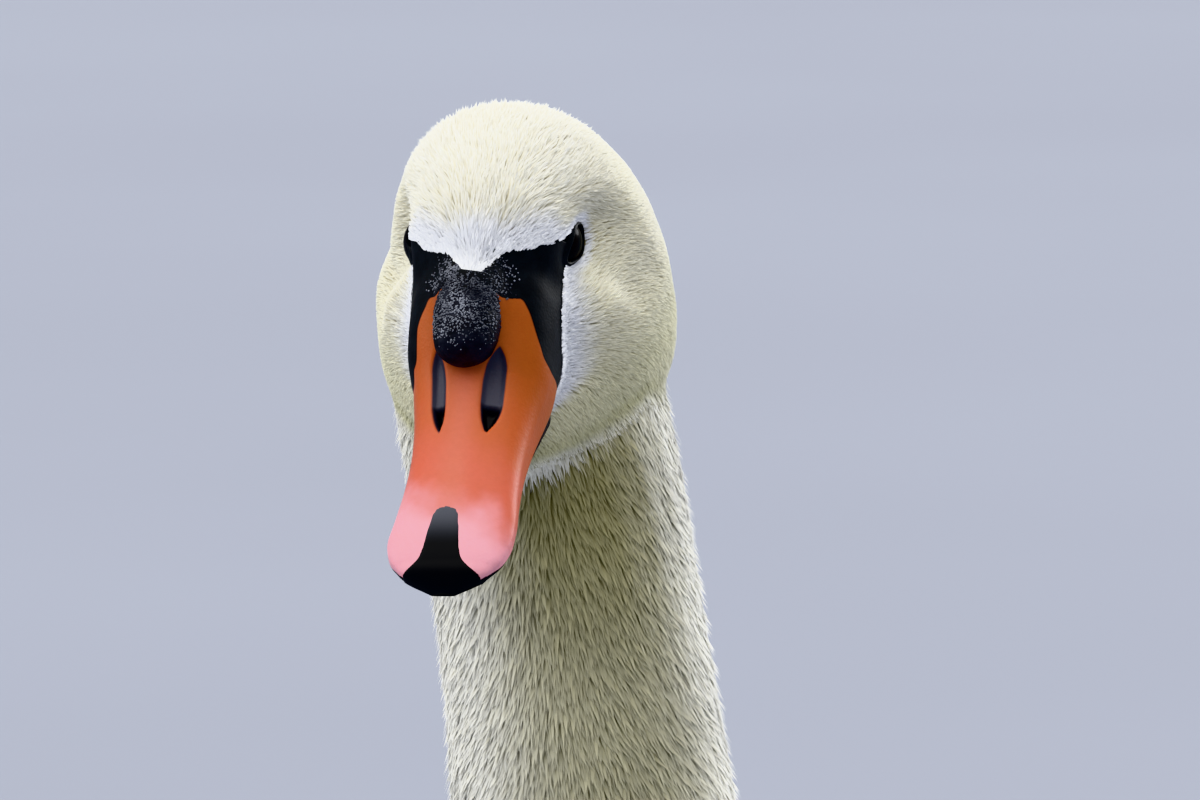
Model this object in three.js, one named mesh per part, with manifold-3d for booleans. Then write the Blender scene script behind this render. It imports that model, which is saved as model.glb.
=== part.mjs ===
// A mute swan at rest, life size: it sits on its belly with wings folded, feet tucked beside the
// keel, neck upright and the head turned a little to its right with the bill held down.
//
// Millimetres, +Z up. The bird faces -Y, so its left side is +X. The origin ends up under the middle
// of the whole bird, on the floor. Trunk and neck are one tube through a list of stations, and the
// head, bill, wings, tail and legs are lofts of their own. Where two meet, one is cut by the other.

import * as THREE from "three";
import { mergeVertices } from "three/addons/utils/BufferGeometryUtils.js";
import Module from "manifold-3d";

const wasm = await Module();
wasm.setup();

// ---- Driving dimensions -------------------------------------------------------------------------

const GAP = 0.3; // left between neighbours
const FINEST = 0.01; // smaller details that a cut or join leaves are merged away

// The point midway between the eyes, and how the head is turned about it, in degrees.
const HEAD_PLACE = { x: -48, y: -252, z: 715 };
const HEAD_TURN = { yaw: -22.3, pitch: 30.1, roll: -1.8 };

const EYE = { radius: 8, aside: 15.3 };
const BILL_TIP = 108.5; // ahead of the eyes
const KNOB_RADIUS = 9.2;
const HEEL = { x: 112, y: 148, z: 9 };
const TOE_ROOT = { x: 124, y: 52, z: 6.5 };
const MIDDLE_TOE = 134;
const WEB = { thick: 2, lift: 0.9, scallop: 16 };
const TAIL = {
  start: 286,
  tip: 486,
  level: 138,
  rise: 20,
  droop: 9,
  root: 44,
  swell: 22,
  thick: 17,
  edge: 2.2,
};

// How finely each shape is faceted: round its slice, and along it.
const FACETS = {
  trunk: { around: 26, along: 17 },
  neck: { around: 20, along: 7 },
  head: { around: 26, along: 16 },
  bill: { around: 14, along: 15 },
  lowerBill: { around: 9, along: 8 },
  knob: { around: 12, along: 8 },
  eye: { around: 12, along: 8 },
  wing: { around: 9, along: 16 },
  tail: { around: 18, along: 10 },
  leg: { around: 10, along: 10 },
  thigh: { around: 12, along: 6 },
  toe: { around: 7, along: 5 },
  hindToe: { around: 7, along: 3 },
};

const degrees = (angle) => (angle * Math.PI) / 180;
const clamp = (value, low, high) => Math.min(Math.max(value, low), high);
const mix = (a, b, share) => a + (b - a) * share;
const power = (value, exponent) => Math.sign(value) * Math.abs(value) ** exponent;
const smooth = (low, high, value) => {
  const share = clamp((value - low) / (high - low), 0, 1);
  return share * share * (3 - 2 * share);
};

// ---- Tables of stations -------------------------------------------------------------------------

// Trunk and neck from the vent to the nape. Each station is a slice: its centre, how far its plane's
// dorsal direction leans from +Z towards the tail, and its reach to the back, belly and each side.
const TUBE = [
  { x: 0, y: 306, z: 142, lean: 0, back: 27, belly: 30, side: 46 },
  { x: 0, y: 250, z: 134, lean: 0, back: 54, belly: 64, side: 82 },
  { x: 0, y: 170, z: 124, lean: 0, back: 87, belly: 112, side: 116 },
  { x: 0, y: 80, z: 115, lean: 0, back: 113, belly: 126, side: 138 },
  { x: 0, y: -20, z: 112, lean: 0, back: 123, belly: 129, side: 146 },
  { x: 0, y: -110, z: 116, lean: 3, back: 122, belly: 129, side: 142 },
  { x: 0, y: -175, z: 138, lean: 21, back: 110, belly: 130, side: 128 },
  { x: 0, y: -214, z: 187, lean: 46, back: 88, belly: 124, side: 105 },
  { x: 0, y: -230, z: 248, lean: 70, back: 70, belly: 78, side: 76 },
  { x: 0, y: -232, z: 312, lean: 84, back: 56, belly: 58, side: 57 },
  { x: -1, y: -229, z: 376, lean: 92, back: 48, belly: 49, side: 48.5 },
  { x: -5, y: -225, z: 445, lean: 92, back: 43, belly: 43.5, side: 43.7 },
  { x: -11.5, y: -221, z: 530, lean: 93, back: 40, belly: 39.5, side: 40.4 },
  { x: -20, y: -217, z: 608, lean: 90, back: 36.5, belly: 36, side: 36.6 },
  { x: -30, y: -219, z: 660, lean: 80, back: 36, belly: 35, side: 37.8 },
  { x: -39, y: -232, z: 698, lean: 60, back: 27, belly: 30, side: 34.5 },
];

// Where the tube is parted, counted in stations: the neck leaves the breast at the first.
const NECK_CUTS = [7.7, 10, 12.3, 15];

// The head from the nape to the chin: place ahead of the eyes, height of the widest level above
// them, and the reach from there up, down and to each side. The outside is the tips of its feathers.
const HEAD = [
  { ahead: -54.5, level: -14, up: 6, down: 6, side: 6 },
  { ahead: -51, level: -20, up: 21, down: 20, side: 20 },
  { ahead: -44, level: -26, up: 38, down: 34, side: 31.5 },
  { ahead: -32, level: -31, up: 53, down: 42, side: 39.3 },
  { ahead: -20, level: -33, up: 59, down: 41, side: 41.2 },
  { ahead: -8, level: -34, up: 60, down: 35, side: 39.8 },
  { ahead: 4, level: -36, up: 59.5, down: 27, side: 35 },
  { ahead: 13, level: -38.5, up: 58, down: 21.5, side: 29 },
  { ahead: 21, level: -41, up: 55, down: 16, side: 23 },
  { ahead: 28, level: -43.5, up: 50, down: 10.5, side: 17 },
  { ahead: 34, level: -45, up: 12, down: 7.5, side: 12 },
  { ahead: 38.5, level: -45.5, up: 4, down: 3.5, side: 5 },
];
const JOWL_FULLNESS = 3; // how square the lower half of the head's slice is: 2 is an ellipse

// How far out the face reaches at an eye. It is flat there and ahead, and opens by these slopes into
// the temple behind, the brow above and the cheek below.
const EYE_FLAT = { reach: 20.3, half: 5.8, temple: 1.15, brow: 0.6, cheek: 1.3 };

// The upper bill with the bare skin that reaches back to the eyes: half width, and the heights of
// its ridge and its cutting edge from the eyes' level.
const BILL = [
  { ahead: 2, side: 14, ridge: 5, edge: -24 },
  { ahead: 8, side: 19.3, ridge: 9, edge: -29 },
  { ahead: 16, side: 20.5, ridge: 10.5, edge: -30.2 },
  { ahead: 26, side: 20.6, ridge: 7.5, edge: -30.4 },
  { ahead: 35, side: 20, ridge: -0.5, edge: -30.4 },
  { ahead: 44, side: 18.6, ridge: -8, edge: -30.6 },
  { ahead: 54, side: 16.9, ridge: -12.5, edge: -31 },
  { ahead: 65, side: 15.9, ridge: -16, edge: -31.3 },
  { ahead: 77, side: 16.1, ridge: -18.8, edge: -31.5 },
  { ahead: 88, side: 16.9, ridge: -21.4, edge: -31.5 },
  { ahead: 96, side: 16.2, ridge: -23.6, edge: -31.8 },
  { ahead: 102, side: 13.4, ridge: -26, edge: -32.4 },
  { ahead: 106.5, side: 8.6, ridge: -28.6, edge: -33.4 },
  { ahead: BILL_TIP, side: 3.4, ridge: -31.2, edge: -34.4 },
];

// How the bill's slice bends: 1 is an ellipse, and less is squarer.
const BILL_BEND = { shoulder: 0.8, wall: 0.36, edge: 0.45 };
const LOWER_BILL = { from: 27, to: 102, inset: 1.9, deep: 8.5, shallow: 2.4 };
const NAIL = { from: 86.5, half: 5.6, flareFrom: 98, flareTo: 101.5, flare: 10.5 };

// The knob is a bean between two balls, grown a little off the midline.
const KNOB = [
  { ahead: 27, height: 5, radius: KNOB_RADIUS - 1.2 },
  { ahead: 38.4, height: -0.8, radius: KNOB_RADIUS },
];
const KNOB_ASIDE = -1.2;
const KNOB_END = 0.16; // its end ring, as a share of its radius

// Each folded wing is a band of an ellipse round the back: its centre height, half width, height of
// the arc, the angles from the top where the band starts and ends, and its thickness.
const WING = [
  { y: -212, z: 158, wide: 96, high: 50, from: 62, to: 96, thick: 16 },
  { y: -196, z: 152, wide: 118, high: 76, from: 46, to: 108, thick: 22 },
  { y: -150, z: 138, wide: 145, high: 108, from: 34, to: 113, thick: 26 },
  { y: -80, z: 126, wide: 159, high: 133, from: 20, to: 112, thick: 26 },
  { y: 0, z: 120, wide: 164, high: 147, from: 7, to: 110, thick: 28 },
  { y: 90, z: 122, wide: 157, high: 151, from: 1.2, to: 107, thick: 28 },
  { y: 180, z: 130, wide: 134, high: 135, from: 1.2, to: 102, thick: 28 },
  { y: 255, z: 142, wide: 103, high: 106, from: 1.3, to: 93, thick: 30 },
  { y: 325, z: 156, wide: 70, high: 70, from: 1.8, to: 82, thick: 34 },
  { y: 385, z: 170, wide: 43, high: 38, from: 3, to: 74, thick: 22 },
  { y: 425, z: 180, wide: 24, high: 18, from: 5.5, to: 66, thick: 11 },
  { y: 447, z: 186, wide: 12, high: 8, from: 11, to: 60, thick: 5 },
];
const WING_RIM = { upper: 0.95, lower: 0.35 }; // thickness there, as a share of the middle's
const WING_APART = 1; // from the midline

// The legs: tarsus on the floor from heel to toes, and the feathered thigh that meets it.
const LEG = [
  { x: HEEL.x - 2, y: HEEL.y + 7, z: HEEL.z + 3, radius: 5 },
  { x: HEEL.x, y: HEEL.y, z: HEEL.z, radius: 9.4 },
  { x: HEEL.x + 2, y: HEEL.y - 16, z: HEEL.z - 0.5, radius: 8 },
  { x: HEEL.x + 7, y: HEEL.y - 58, z: TOE_ROOT.z + 0.5, radius: 7 },
  { x: TOE_ROOT.x, y: TOE_ROOT.y + 8, z: TOE_ROOT.z + 0.5, radius: 7.8 },
  { x: TOE_ROOT.x, y: TOE_ROOT.y - 2, z: TOE_ROOT.z - 0.5, radius: 6 },
];
const THIGH = [
  { x: HEEL.x - 1, y: HEEL.y + 3, z: HEEL.z + 9, radius: 11 },
  { x: HEEL.x - 5, y: HEEL.y - 6, z: HEEL.z + 24, radius: 21 },
  { x: HEEL.x - 14, y: HEEL.y - 24, z: HEEL.z + 46, radius: 30 },
  { x: HEEL.x - 30, y: HEEL.y - 50, z: HEEL.z + 66, radius: 34 },
];

// Three webbed toes, by their turn outwards and length, and the joints along each of them.
const TOES = [
  { turn: -12, length: MIDDLE_TOE * 0.8 },
  { turn: 0, length: MIDDLE_TOE },
  { turn: 12, length: MIDDLE_TOE * 0.93 },
];
const TOE_JOINTS = [
  { share: 0, z: 6, radius: 7 },
  { share: 0.3, z: 4.2, radius: 5.2 },
  { share: 0.6, z: 3.6, radius: 4.6 },
  { share: 0.86, z: 3, radius: 3.8 },
  { share: 1, z: 1.4, radius: 1.2 },
];
const HIND_TOE = [
  { turn: 168, distance: 2, z: 6, radius: 4.5 },
  { turn: 150, distance: 16, z: 4, radius: 3.4 },
  { turn: 140, distance: 27, z: 1.6, radius: 1.4 },
];

// ---- Helpers for shapes -------------------------------------------------------------------------

// The slice of a table at a place counted in stations, on a smooth curve through all of them.
function slice(table, place) {
  const last = table.length - 1;
  const first = Math.min(Math.floor(place), last - 1);
  const share = place - first;
  const square = share * share;
  const cube = square * share;
  const [a, b, c, d] = [-1, 0, 1, 2].map((step) => table[clamp(first + step, 0, last)]);
  const between = {};
  for (const key of Object.keys(b)) {
    const slopeIn = (c[key] - a[key]) / 2;
    const slopeOut = (d[key] - b[key]) / 2;
    between[key] =
      b[key] * (2 * cube - 3 * square + 1) +
      slopeIn * (cube - 2 * square + share) +
      c[key] * (3 * square - 2 * cube) +
      slopeOut * (cube - square);
  }
  return between;
}

// The slices of a whole table at even places, from the first station to the last.
function slices(table, steps) {
  const last = table.length - 1;
  return Array.from({ length: steps + 1 }, (_, i) => slice(table, (last * i) / steps));
}

// The slice where one value of the table, which grows from station to station, has been reached.
function sliceWhere(table, key, value) {
  let low = 0;
  let high = table.length - 1;
  for (let halving = 0; halving < 30; halving++) {
    const middle = (low + high) / 2;
    if (slice(table, middle)[key] < value) low = middle;
    else high = middle;
  }
  return slice(table, low);
}

// One ring of points, made from the angle round it.
function ring(around, pointAt) {
  return Array.from({ length: around }, (_, i) => pointAt((2 * Math.PI * i) / around));
}

function middleOf(points) {
  const sum = new THREE.Vector3();
  for (const point of points) sum.add(point);
  return sum.divideScalar(points.length);
}

// A closed skin over rings of equal length, with a fan over each end.
function loft(rings) {
  const around = rings[0].length;
  const points = rings.flat();
  const faces = [];
  for (let r = 0; r + 1 < rings.length; r++)
    for (let i = 0; i < around; i++) {
      const a = r * around + i;
      const b = r * around + ((i + 1) % around);
      faces.push(a, b, a + around, b, b + around, a + around);
    }
  for (const end of [0, rings.length - 1]) {
    const middle = points.push(middleOf(rings[end])) - 1;
    for (let i = 0; i < around; i++) {
      const a = end * around + i;
      const b = end * around + ((i + 1) % around);
      if (end === 0) faces.push(b, a, middle);
      else faces.push(a, b, middle);
    }
  }
  return facingOut(new THREE.BufferGeometry().setFromPoints(points).setIndex(faces));
}

// The geometry with its faces turned round if they point inwards.
function facingOut(geometry) {
  const place = geometry.getAttribute("position");
  const index = geometry.getIndex().array;
  const [a, b, c] = [0, 1, 2].map(() => new THREE.Vector3());
  let volume = 0;
  for (let i = 0; i < index.length; i += 3) {
    a.fromBufferAttribute(place, index[i]);
    b.fromBufferAttribute(place, index[i + 1]);
    c.fromBufferAttribute(place, index[i + 2]);
    volume += a.dot(b.cross(c));
  }
  if (volume < 0)
    for (let i = 0; i < index.length; i += 3)
      [index[i + 1], index[i + 2]] = [index[i + 2], index[i + 1]];
  return geometry;
}

// A library shape with only its points and faces, joined at shared corners.
function indexed(geometry) {
  geometry.deleteAttribute("normal");
  geometry.deleteAttribute("uv");
  return facingOut(mergeVertices(geometry, 1e-4));
}

// From three.js geometry to a solid that can be cut and joined, and back.
function solid(geometry) {
  const merged = mergeVertices(geometry, 1e-4);
  return new wasm.Manifold(
    new wasm.Mesh({
      numProp: 3,
      vertProperties: new Float32Array(merged.getAttribute("position").array),
      triVerts: new Uint32Array(merged.getIndex().array),
    }),
  );
}

function geometryOf(made) {
  const mesh = made.simplify(FINEST).getMesh();
  return new THREE.BufferGeometry()
    .setAttribute("position", new THREE.BufferAttribute(mesh.vertProperties, 3))
    .setIndex(new THREE.BufferAttribute(mesh.triVerts, 1));
}

// The largest body of a cut solid, without the slivers that a cut may leave.
function largest(made) {
  return made.decompose().sort((a, b) => b.volume() - a.volume())[0];
}

function cut(geometry, ...cutters) {
  let left = solid(geometry);
  for (const cutter of cutters) left = left.subtract(solid(cutter));
  return geometryOf(largest(left));
}

function join(...geometries) {
  let all = solid(geometries[0]);
  for (const next of geometries.slice(1)) all = all.add(solid(next));
  return geometryOf(all);
}

function common(a, b) {
  return geometryOf(largest(solid(a).intersect(solid(b))));
}

// What is left above the floor, with a flat rest where it met it.
function aboveFloor(geometry) {
  return geometryOf(largest(solid(geometry).trimByPlane([0, 0, 1], 0)));
}

// Which end a step is at: -1 at the first, 1 at the last, and 0 between them.
const endOf = (i, along) => (i === 0 ? -1 : i === along ? 1 : 0);

// ---- Trunk and neck -----------------------------------------------------------------------------

// One slice of the tube as a ring of points. Nothing goes below the floor, which leaves the belly's
// flat rest. shift moves the ring along the tube.
function tubeRing(place, around, grow, shift) {
  const station = slice(TUBE, place);
  const lean = degrees(station.lean);
  const dorsal = new THREE.Vector3(0, Math.sin(lean), Math.cos(lean));
  const forward = new THREE.Vector3(0, -Math.cos(lean), Math.sin(lean));
  return ring(around, (angle) => {
    const reach = Math.cos(angle) > 0 ? station.back : station.belly;
    const point = new THREE.Vector3(station.x, station.y, station.z)
      .addScaledVector(dorsal, Math.cos(angle) * (reach + grow))
      .addScaledVector(forward, shift);
    point.x += Math.sin(angle) * (station.side + grow);
    point.z = Math.max(point.z, 0);
    return point;
  });
}

// A length of the tube between two places. Each end stops half a gap short, and a grown tube runs
// past it instead.
function tube(from, to, { around, along }, grow = 0) {
  const rings = [];
  for (let i = 0; i <= along; i++) {
    const shift = endOf(i, along) * (grow - GAP / 2);
    rings.push(tubeRing(mix(from, to, i / along), around, grow, shift));
  }
  return loft(rings);
}

// ---- Head, in a frame of its own: eyes at the origin, bill towards -Y ----------------------------

const headPoint = (left, ahead, height) => new THREE.Vector3(left, -ahead, height);

function faceLimit(point) {
  const behind = Math.max(point.y - EYE_FLAT.half, 0);
  const above = Math.max(point.z - EYE_FLAT.half, 0);
  const below = Math.max(-point.z - EYE_FLAT.half, 0);
  const opening = EYE_FLAT.temple * behind + EYE_FLAT.brow * above + EYE_FLAT.cheek * below;
  return EYE_FLAT.reach + opening;
}

function headSolid(grow = 0) {
  const { around, along } = FACETS.head;
  const rings = slices(HEAD, along).map((station, i) =>
    ring(around, (angle) => {
      const over = Math.cos(angle) > 0;
      const reach = over ? station.up : station.down;
      const bend = over ? 1 : 2 / JOWL_FULLNESS;
      const point = headPoint(
        power(Math.sin(angle), bend) * (station.side + grow),
        station.ahead + endOf(i, along) * grow,
        station.level + power(Math.cos(angle), bend) * (reach + grow),
      );
      const limit = faceLimit(point) + grow;
      point.x = clamp(point.x, -limit, limit);
      return point;
    }),
  );
  return loft(rings);
}

// The upper bill's slice is an arch over a flat cutting edge.
function upperBillSolid(grow = 0) {
  const { around, along } = FACETS.bill;
  const rings = slices(BILL, along).map((station, i) => {
    const tall = (station.ridge - station.edge) / 2;
    return ring(around, (angle) => {
      const over = Math.cos(angle) > 0;
      const out = power(Math.sin(angle), over ? BILL_BEND.shoulder : BILL_BEND.wall);
      const up = power(Math.cos(angle), over ? 1 : BILL_BEND.edge);
      return headPoint(
        out * (station.side + grow),
        station.ahead + (i === along ? grow : 0),
        station.edge + tall + up * (tall + grow),
      );
    });
  });
  return loft(rings);
}

// The outline of the nail seen from above, as an upright block through the bill's tip.
function nailBlock(grow = 0) {
  const half = NAIL.half + grow;
  const flare = NAIL.flare + grow;
  const roundFrom = -(NAIL.from - grow + half);
  const front = -(BILL_TIP + 6);
  const outline = new THREE.Shape();
  outline.moveTo(flare, front);
  outline.lineTo(flare, -NAIL.flareTo);
  outline.lineTo(half, -NAIL.flareFrom);
  outline.absarc(0, roundFrom, half, 0, Math.PI, false);
  outline.lineTo(-half, -NAIL.flareFrom);
  outline.lineTo(-flare, -NAIL.flareTo);
  outline.lineTo(-flare, front);
  const block = new THREE.ExtrudeGeometry(outline, {
    depth: 40,
    bevelEnabled: false,
    curveSegments: 7,
  });
  block.translate(0, 0, -50);
  return indexed(block);
}

// The lower bill is a shallow keel just under the cutting edge.
function lowerBillSolid() {
  const { around, along } = FACETS.lowerBill;
  const rings = [];
  for (let i = 0; i <= along; i++) {
    const share = i / along;
    const ahead = mix(LOWER_BILL.from, LOWER_BILL.to, share);
    const deep = mix(LOWER_BILL.deep, LOWER_BILL.shallow, share ** 0.7);
    const upper = sliceWhere(BILL, "ahead", ahead);
    const top = upper.edge - GAP - 0.1;
    const keel = Array.from({ length: around }, (_, k) => {
      const angle = Math.PI * (k / (around - 1) - 0.5);
      const left = Math.sin(angle) * (upper.side - LOWER_BILL.inset);
      return headPoint(left, ahead, top - Math.cos(angle) * deep);
    });
    rings.push(keel);
  }
  return loft(rings);
}

function knobSolid(grow = 0) {
  const { around, along } = FACETS.knob;
  const [back, front] = KNOB.map((ball) => headPoint(KNOB_ASIDE, ball.ahead, ball.height));
  const axis = front.clone().sub(back);
  const unit = axis.clone().normalize();
  const aside = new THREE.Vector3(1, 0, 0);
  const up = aside.clone().cross(unit);
  const rings = [];
  for (let i = 0; i <= along; i++) {
    const share = i / along;
    const angle = Math.PI * share;
    const radius = mix(KNOB[0].radius, KNOB[1].radius, smooth(0.2, 0.8, share)) + grow;
    const across = Math.max(Math.sin(angle), KNOB_END) * radius;
    const centre = back
      .clone()
      .addScaledVector(axis, smooth(0.3, 0.7, share))
      .addScaledVector(unit, -Math.cos(angle) * radius);
    rings.push(
      ring(around, (turn) =>
        centre
          .clone()
          .addScaledVector(up, Math.cos(turn) * across)
          .addScaledVector(aside, Math.sin(turn) * across),
      ),
    );
  }
  return loft(rings);
}

function eyeball(side, grow = 0) {
  const { around, along } = FACETS.eye;
  const ball = new THREE.SphereGeometry(EYE.radius + grow, around, along);
  ball.translate(side * EYE.aside, 0, 0);
  return indexed(ball);
}

// ---- Wings and tail -----------------------------------------------------------------------------

// The folded wing is a shell: the outer arc of each slice, then the inner one back again.
function wingSolid(side, grow = 0) {
  const { around, along } = FACETS.wing;
  const rings = slices(WING, along).map((station, i) => {
    const arc = (inner) =>
      Array.from({ length: around }, (_, k) => {
        const share = k / (around - 1);
        const angle = degrees(mix(station.from, station.to, share));
        const rim = mix(WING_RIM.upper, WING_RIM.lower, share);
        const thick = station.thick * mix(rim, 1, Math.sin(Math.PI * share));
        const drawnIn = inner ? thick : -grow;
        const out = (station.wide - drawnIn) * Math.sin(angle);
        return new THREE.Vector3(
          side * Math.max(out, WING_APART),
          station.y + endOf(i, along) * grow,
          station.z + (station.high - drawnIn) * Math.cos(angle),
        );
      });
    return [...arc(false), ...arc(true).reverse()];
  });
  return loft(rings);
}

// A wedge of overlapping feathers, widest a little behind its root and rounded to a blunt point.
function tailSolid() {
  const { around, along } = FACETS.tail;
  const rings = [];
  for (let i = 0; i <= along; i++) {
    const share = i / along;
    const swell = TAIL.swell * Math.sin(Math.PI * (0.95 * share) ** 0.8);
    const wide = (TAIL.root + swell) * Math.sqrt(1 - (0.985 * share) ** 3);
    const thick = mix(TAIL.thick, TAIL.edge, share);
    const slat = ring(around, (angle) => {
      const out = Math.sin(angle);
      const level = TAIL.level + (TAIL.rise - TAIL.droop * out * out) * share;
      const height = level + power(Math.cos(angle), 0.8) * thick;
      return new THREE.Vector3(out * wide, mix(TAIL.start, TAIL.tip, share), height);
    });
    rings.push(slat);
  }
  return loft(rings);
}

// ---- Legs and feet ------------------------------------------------------------------------------

// A round bar through balls of given radius, on the left side or mirrored to the right.
function limb(balls, side, { around, along }, grow = 0) {
  const last = balls.length - 1;
  const placeAt = (step) => {
    const ball = slice(balls, (last * clamp(step, 0, along)) / along);
    return new THREE.Vector3(ball.x, ball.y, ball.z);
  };
  const rings = slices(balls, along).map((ball, i) => {
    const direction = placeAt(i + 0.5).sub(placeAt(i - 0.5)).normalize();
    const flat = new THREE.Vector3(0, 0, 1).cross(direction).normalize();
    const over = direction.clone().cross(flat);
    return ring(around, (angle) => {
      const point = placeAt(i)
        .addScaledVector(direction, endOf(i, along) * grow)
        .addScaledVector(over, Math.cos(angle) * (ball.radius + grow))
        .addScaledVector(flat, Math.sin(angle) * (ball.radius + grow));
      return new THREE.Vector3(side * point.x, point.y, point.z);
    });
  });
  return loft(rings);
}

// A place on the left foot by its turn outwards and distance from where the toes meet.
const onFoot = (turn, distance) => ({
  x: TOE_ROOT.x + Math.sin(degrees(turn)) * distance,
  y: TOE_ROOT.y - Math.cos(degrees(turn)) * distance,
});

function webSolid(side) {
  const rim = TOES.map(({ turn, length }) => onFoot(turn, length * 0.9));
  const root = onFoot(0, -2);
  const outline = new THREE.Shape();
  outline.moveTo(side * root.x, root.y);
  outline.lineTo(side * rim[0].x, rim[0].y);
  for (let toe = 1; toe < rim.length; toe++) {
    const [a, b] = [rim[toe - 1], rim[toe]];
    const middle = { x: (a.x + b.x) / 2, y: (a.y + b.y) / 2 + WEB.scallop };
    outline.quadraticCurveTo(side * middle.x, middle.y, side * b.x, b.y);
  }
  outline.closePath();
  const web = new THREE.ExtrudeGeometry(outline, {
    depth: WEB.thick,
    bevelEnabled: false,
    curveSegments: 5,
  });
  web.translate(0, 0, WEB.lift);
  return indexed(web);
}

function footSolid(side) {
  const toes = TOES.map(({ turn, length }) => {
    const joints = TOE_JOINTS.map(({ share, z, radius }) => {
      return { ...onFoot(turn, length * share), z, radius };
    });
    return limb(joints, side, FACETS.toe);
  });
  const hind = HIND_TOE.map(({ turn, distance, z, radius }) => {
    return { ...onFoot(turn, distance), z, radius };
  });
  return join(...toes, webSolid(side), limb(hind, side, FACETS.hindToe));
}

// ---- Assembly -----------------------------------------------------------------------------------

const FEATHERS = { color: 0xf1eee4, roughness: 0.9 };
const ORANGE_BILL = { color: 0xd9704a, roughness: 0.45 };
const BLACK_BILL = { color: 0x1b1c1f, roughness: 0.5 };
const FOOT_SKIN = { color: 0x2b2b2c, roughness: 0.65 };
const EYE_BROWN = { color: 0x1a0f08, roughness: 0.1 };

const swan = new THREE.Group();

function place(parent, name, geometry, finish) {
  const material = new THREE.MeshStandardMaterial({ metalness: 0, ...finish });
  const mesh = new THREE.Mesh(geometry, material);
  mesh.name = name;
  parent.add(mesh);
}

// The head is a group of its own, turned and lifted into place.
const head = new THREE.Group();
head.rotation.set(
  degrees(HEAD_TURN.pitch),
  degrees(HEAD_TURN.roll),
  degrees(HEAD_TURN.yaw),
  "ZXY",
);
head.position.set(HEAD_PLACE.x, HEAD_PLACE.y, HEAD_PLACE.z);
head.updateMatrix();
swan.add(head);

const eyeRoom = [eyeball(1, GAP), eyeball(-1, GAP)];
const knobRoom = knobSolid(GAP);
const crown = cut(headSolid(), upperBillSolid(GAP), knobRoom, ...eyeRoom);
const upperBill = cut(upperBillSolid(), knobRoom, nailBlock(GAP), ...eyeRoom);

place(head, "head", crown, FEATHERS);
place(head, "upper_bill", upperBill, ORANGE_BILL);
place(head, "bill_nail", common(upperBillSolid(), nailBlock()), BLACK_BILL);
place(head, "lower_bill", cut(lowerBillSolid(), headSolid(GAP)), BLACK_BILL);
place(head, "bill_knob", knobSolid(), BLACK_BILL);
place(head, "eye_left", eyeball(1), EYE_BROWN);
place(head, "eye_right", eyeball(-1), EYE_BROWN);

// The neck in three lengths. The top one runs up into the head, which cuts it.
const headRoom = [headSolid(GAP), upperBillSolid(GAP)];
for (const room of headRoom) room.applyMatrix4(head.matrix);
const [lower, middle, upper] = [0, 1, 2].map((part) =>
  tube(NECK_CUTS[part], NECK_CUTS[part + 1], FACETS.neck),
);
place(swan, "neck_lower", lower, FEATHERS);
place(swan, "neck_middle", middle, FEATHERS);
place(swan, "neck_upper", cut(upper, ...headRoom), FEATHERS);

place(swan, "trunk", tube(0, NECK_CUTS[0], FACETS.trunk), FEATHERS);
const trunkRoom = [
  tube(0, NECK_CUTS[0], FACETS.trunk, GAP),
  tube(NECK_CUTS[0], NECK_CUTS[1], FACETS.neck, GAP),
];

const wingRoom = [wingSolid(1, GAP), wingSolid(-1, GAP)];
for (const [name, side] of [
  ["left", 1],
  ["right", -1],
]) {
  const legRoom = limb(LEG, side, FACETS.leg, GAP);
  const wing = cut(wingSolid(side), ...trunkRoom);
  const thigh = cut(limb(THIGH, side, FACETS.thigh), ...trunkRoom, ...wingRoom, legRoom);
  const leg = aboveFloor(cut(limb(LEG, side, FACETS.leg), ...trunkRoom));
  const foot = aboveFloor(cut(footSolid(side), legRoom, ...trunkRoom));
  place(swan, "wing_" + name, wing, FEATHERS);
  place(swan, "thigh_" + name, thigh, FEATHERS);
  place(swan, "leg_" + name, leg, FOOT_SKIN);
  place(swan, "foot_" + name, foot, FOOT_SKIN);
}
place(swan, "tail", cut(tailSolid(), ...trunkRoom, ...wingRoom), FEATHERS);

// The origin goes under the middle of the bird, on the floor.
swan.updateMatrixWorld(true);
const box = new THREE.Box3().setFromObject(swan, true);
const centre = box.getCenter(new THREE.Vector3());
swan.position.set(-centre.x, -centre.y, -box.min.z);

const rested = new THREE.Group();
rested.add(swan);

export default rested;
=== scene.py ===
"""Looks of a still, life-size mute swan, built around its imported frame.

The frame is the CAD model, whose outside is the tips of the plumage. One skin replaces all nodes of
flesh and lies under them by the depth of the coat. Down and feathers are solid vanes and slivers
that start on the skin, follow the lie of the plumage and end at the frame's outside. The bill, its
nail and knob, the eyes with their lids, and the feet are pieces of their own.

Lengths are millimetres in the shapes and metres in the properties. The head has its own frame, with
the origin midway between the eyes: left, ahead (towards the bill) and up.
"""

import itertools
import math

import bpy
import numpy as np
import openvdb
from mathutils import Matrix, Vector
from mathutils.bvhtree import BVHTree
from mathutils.kdtree import KDTree


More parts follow.
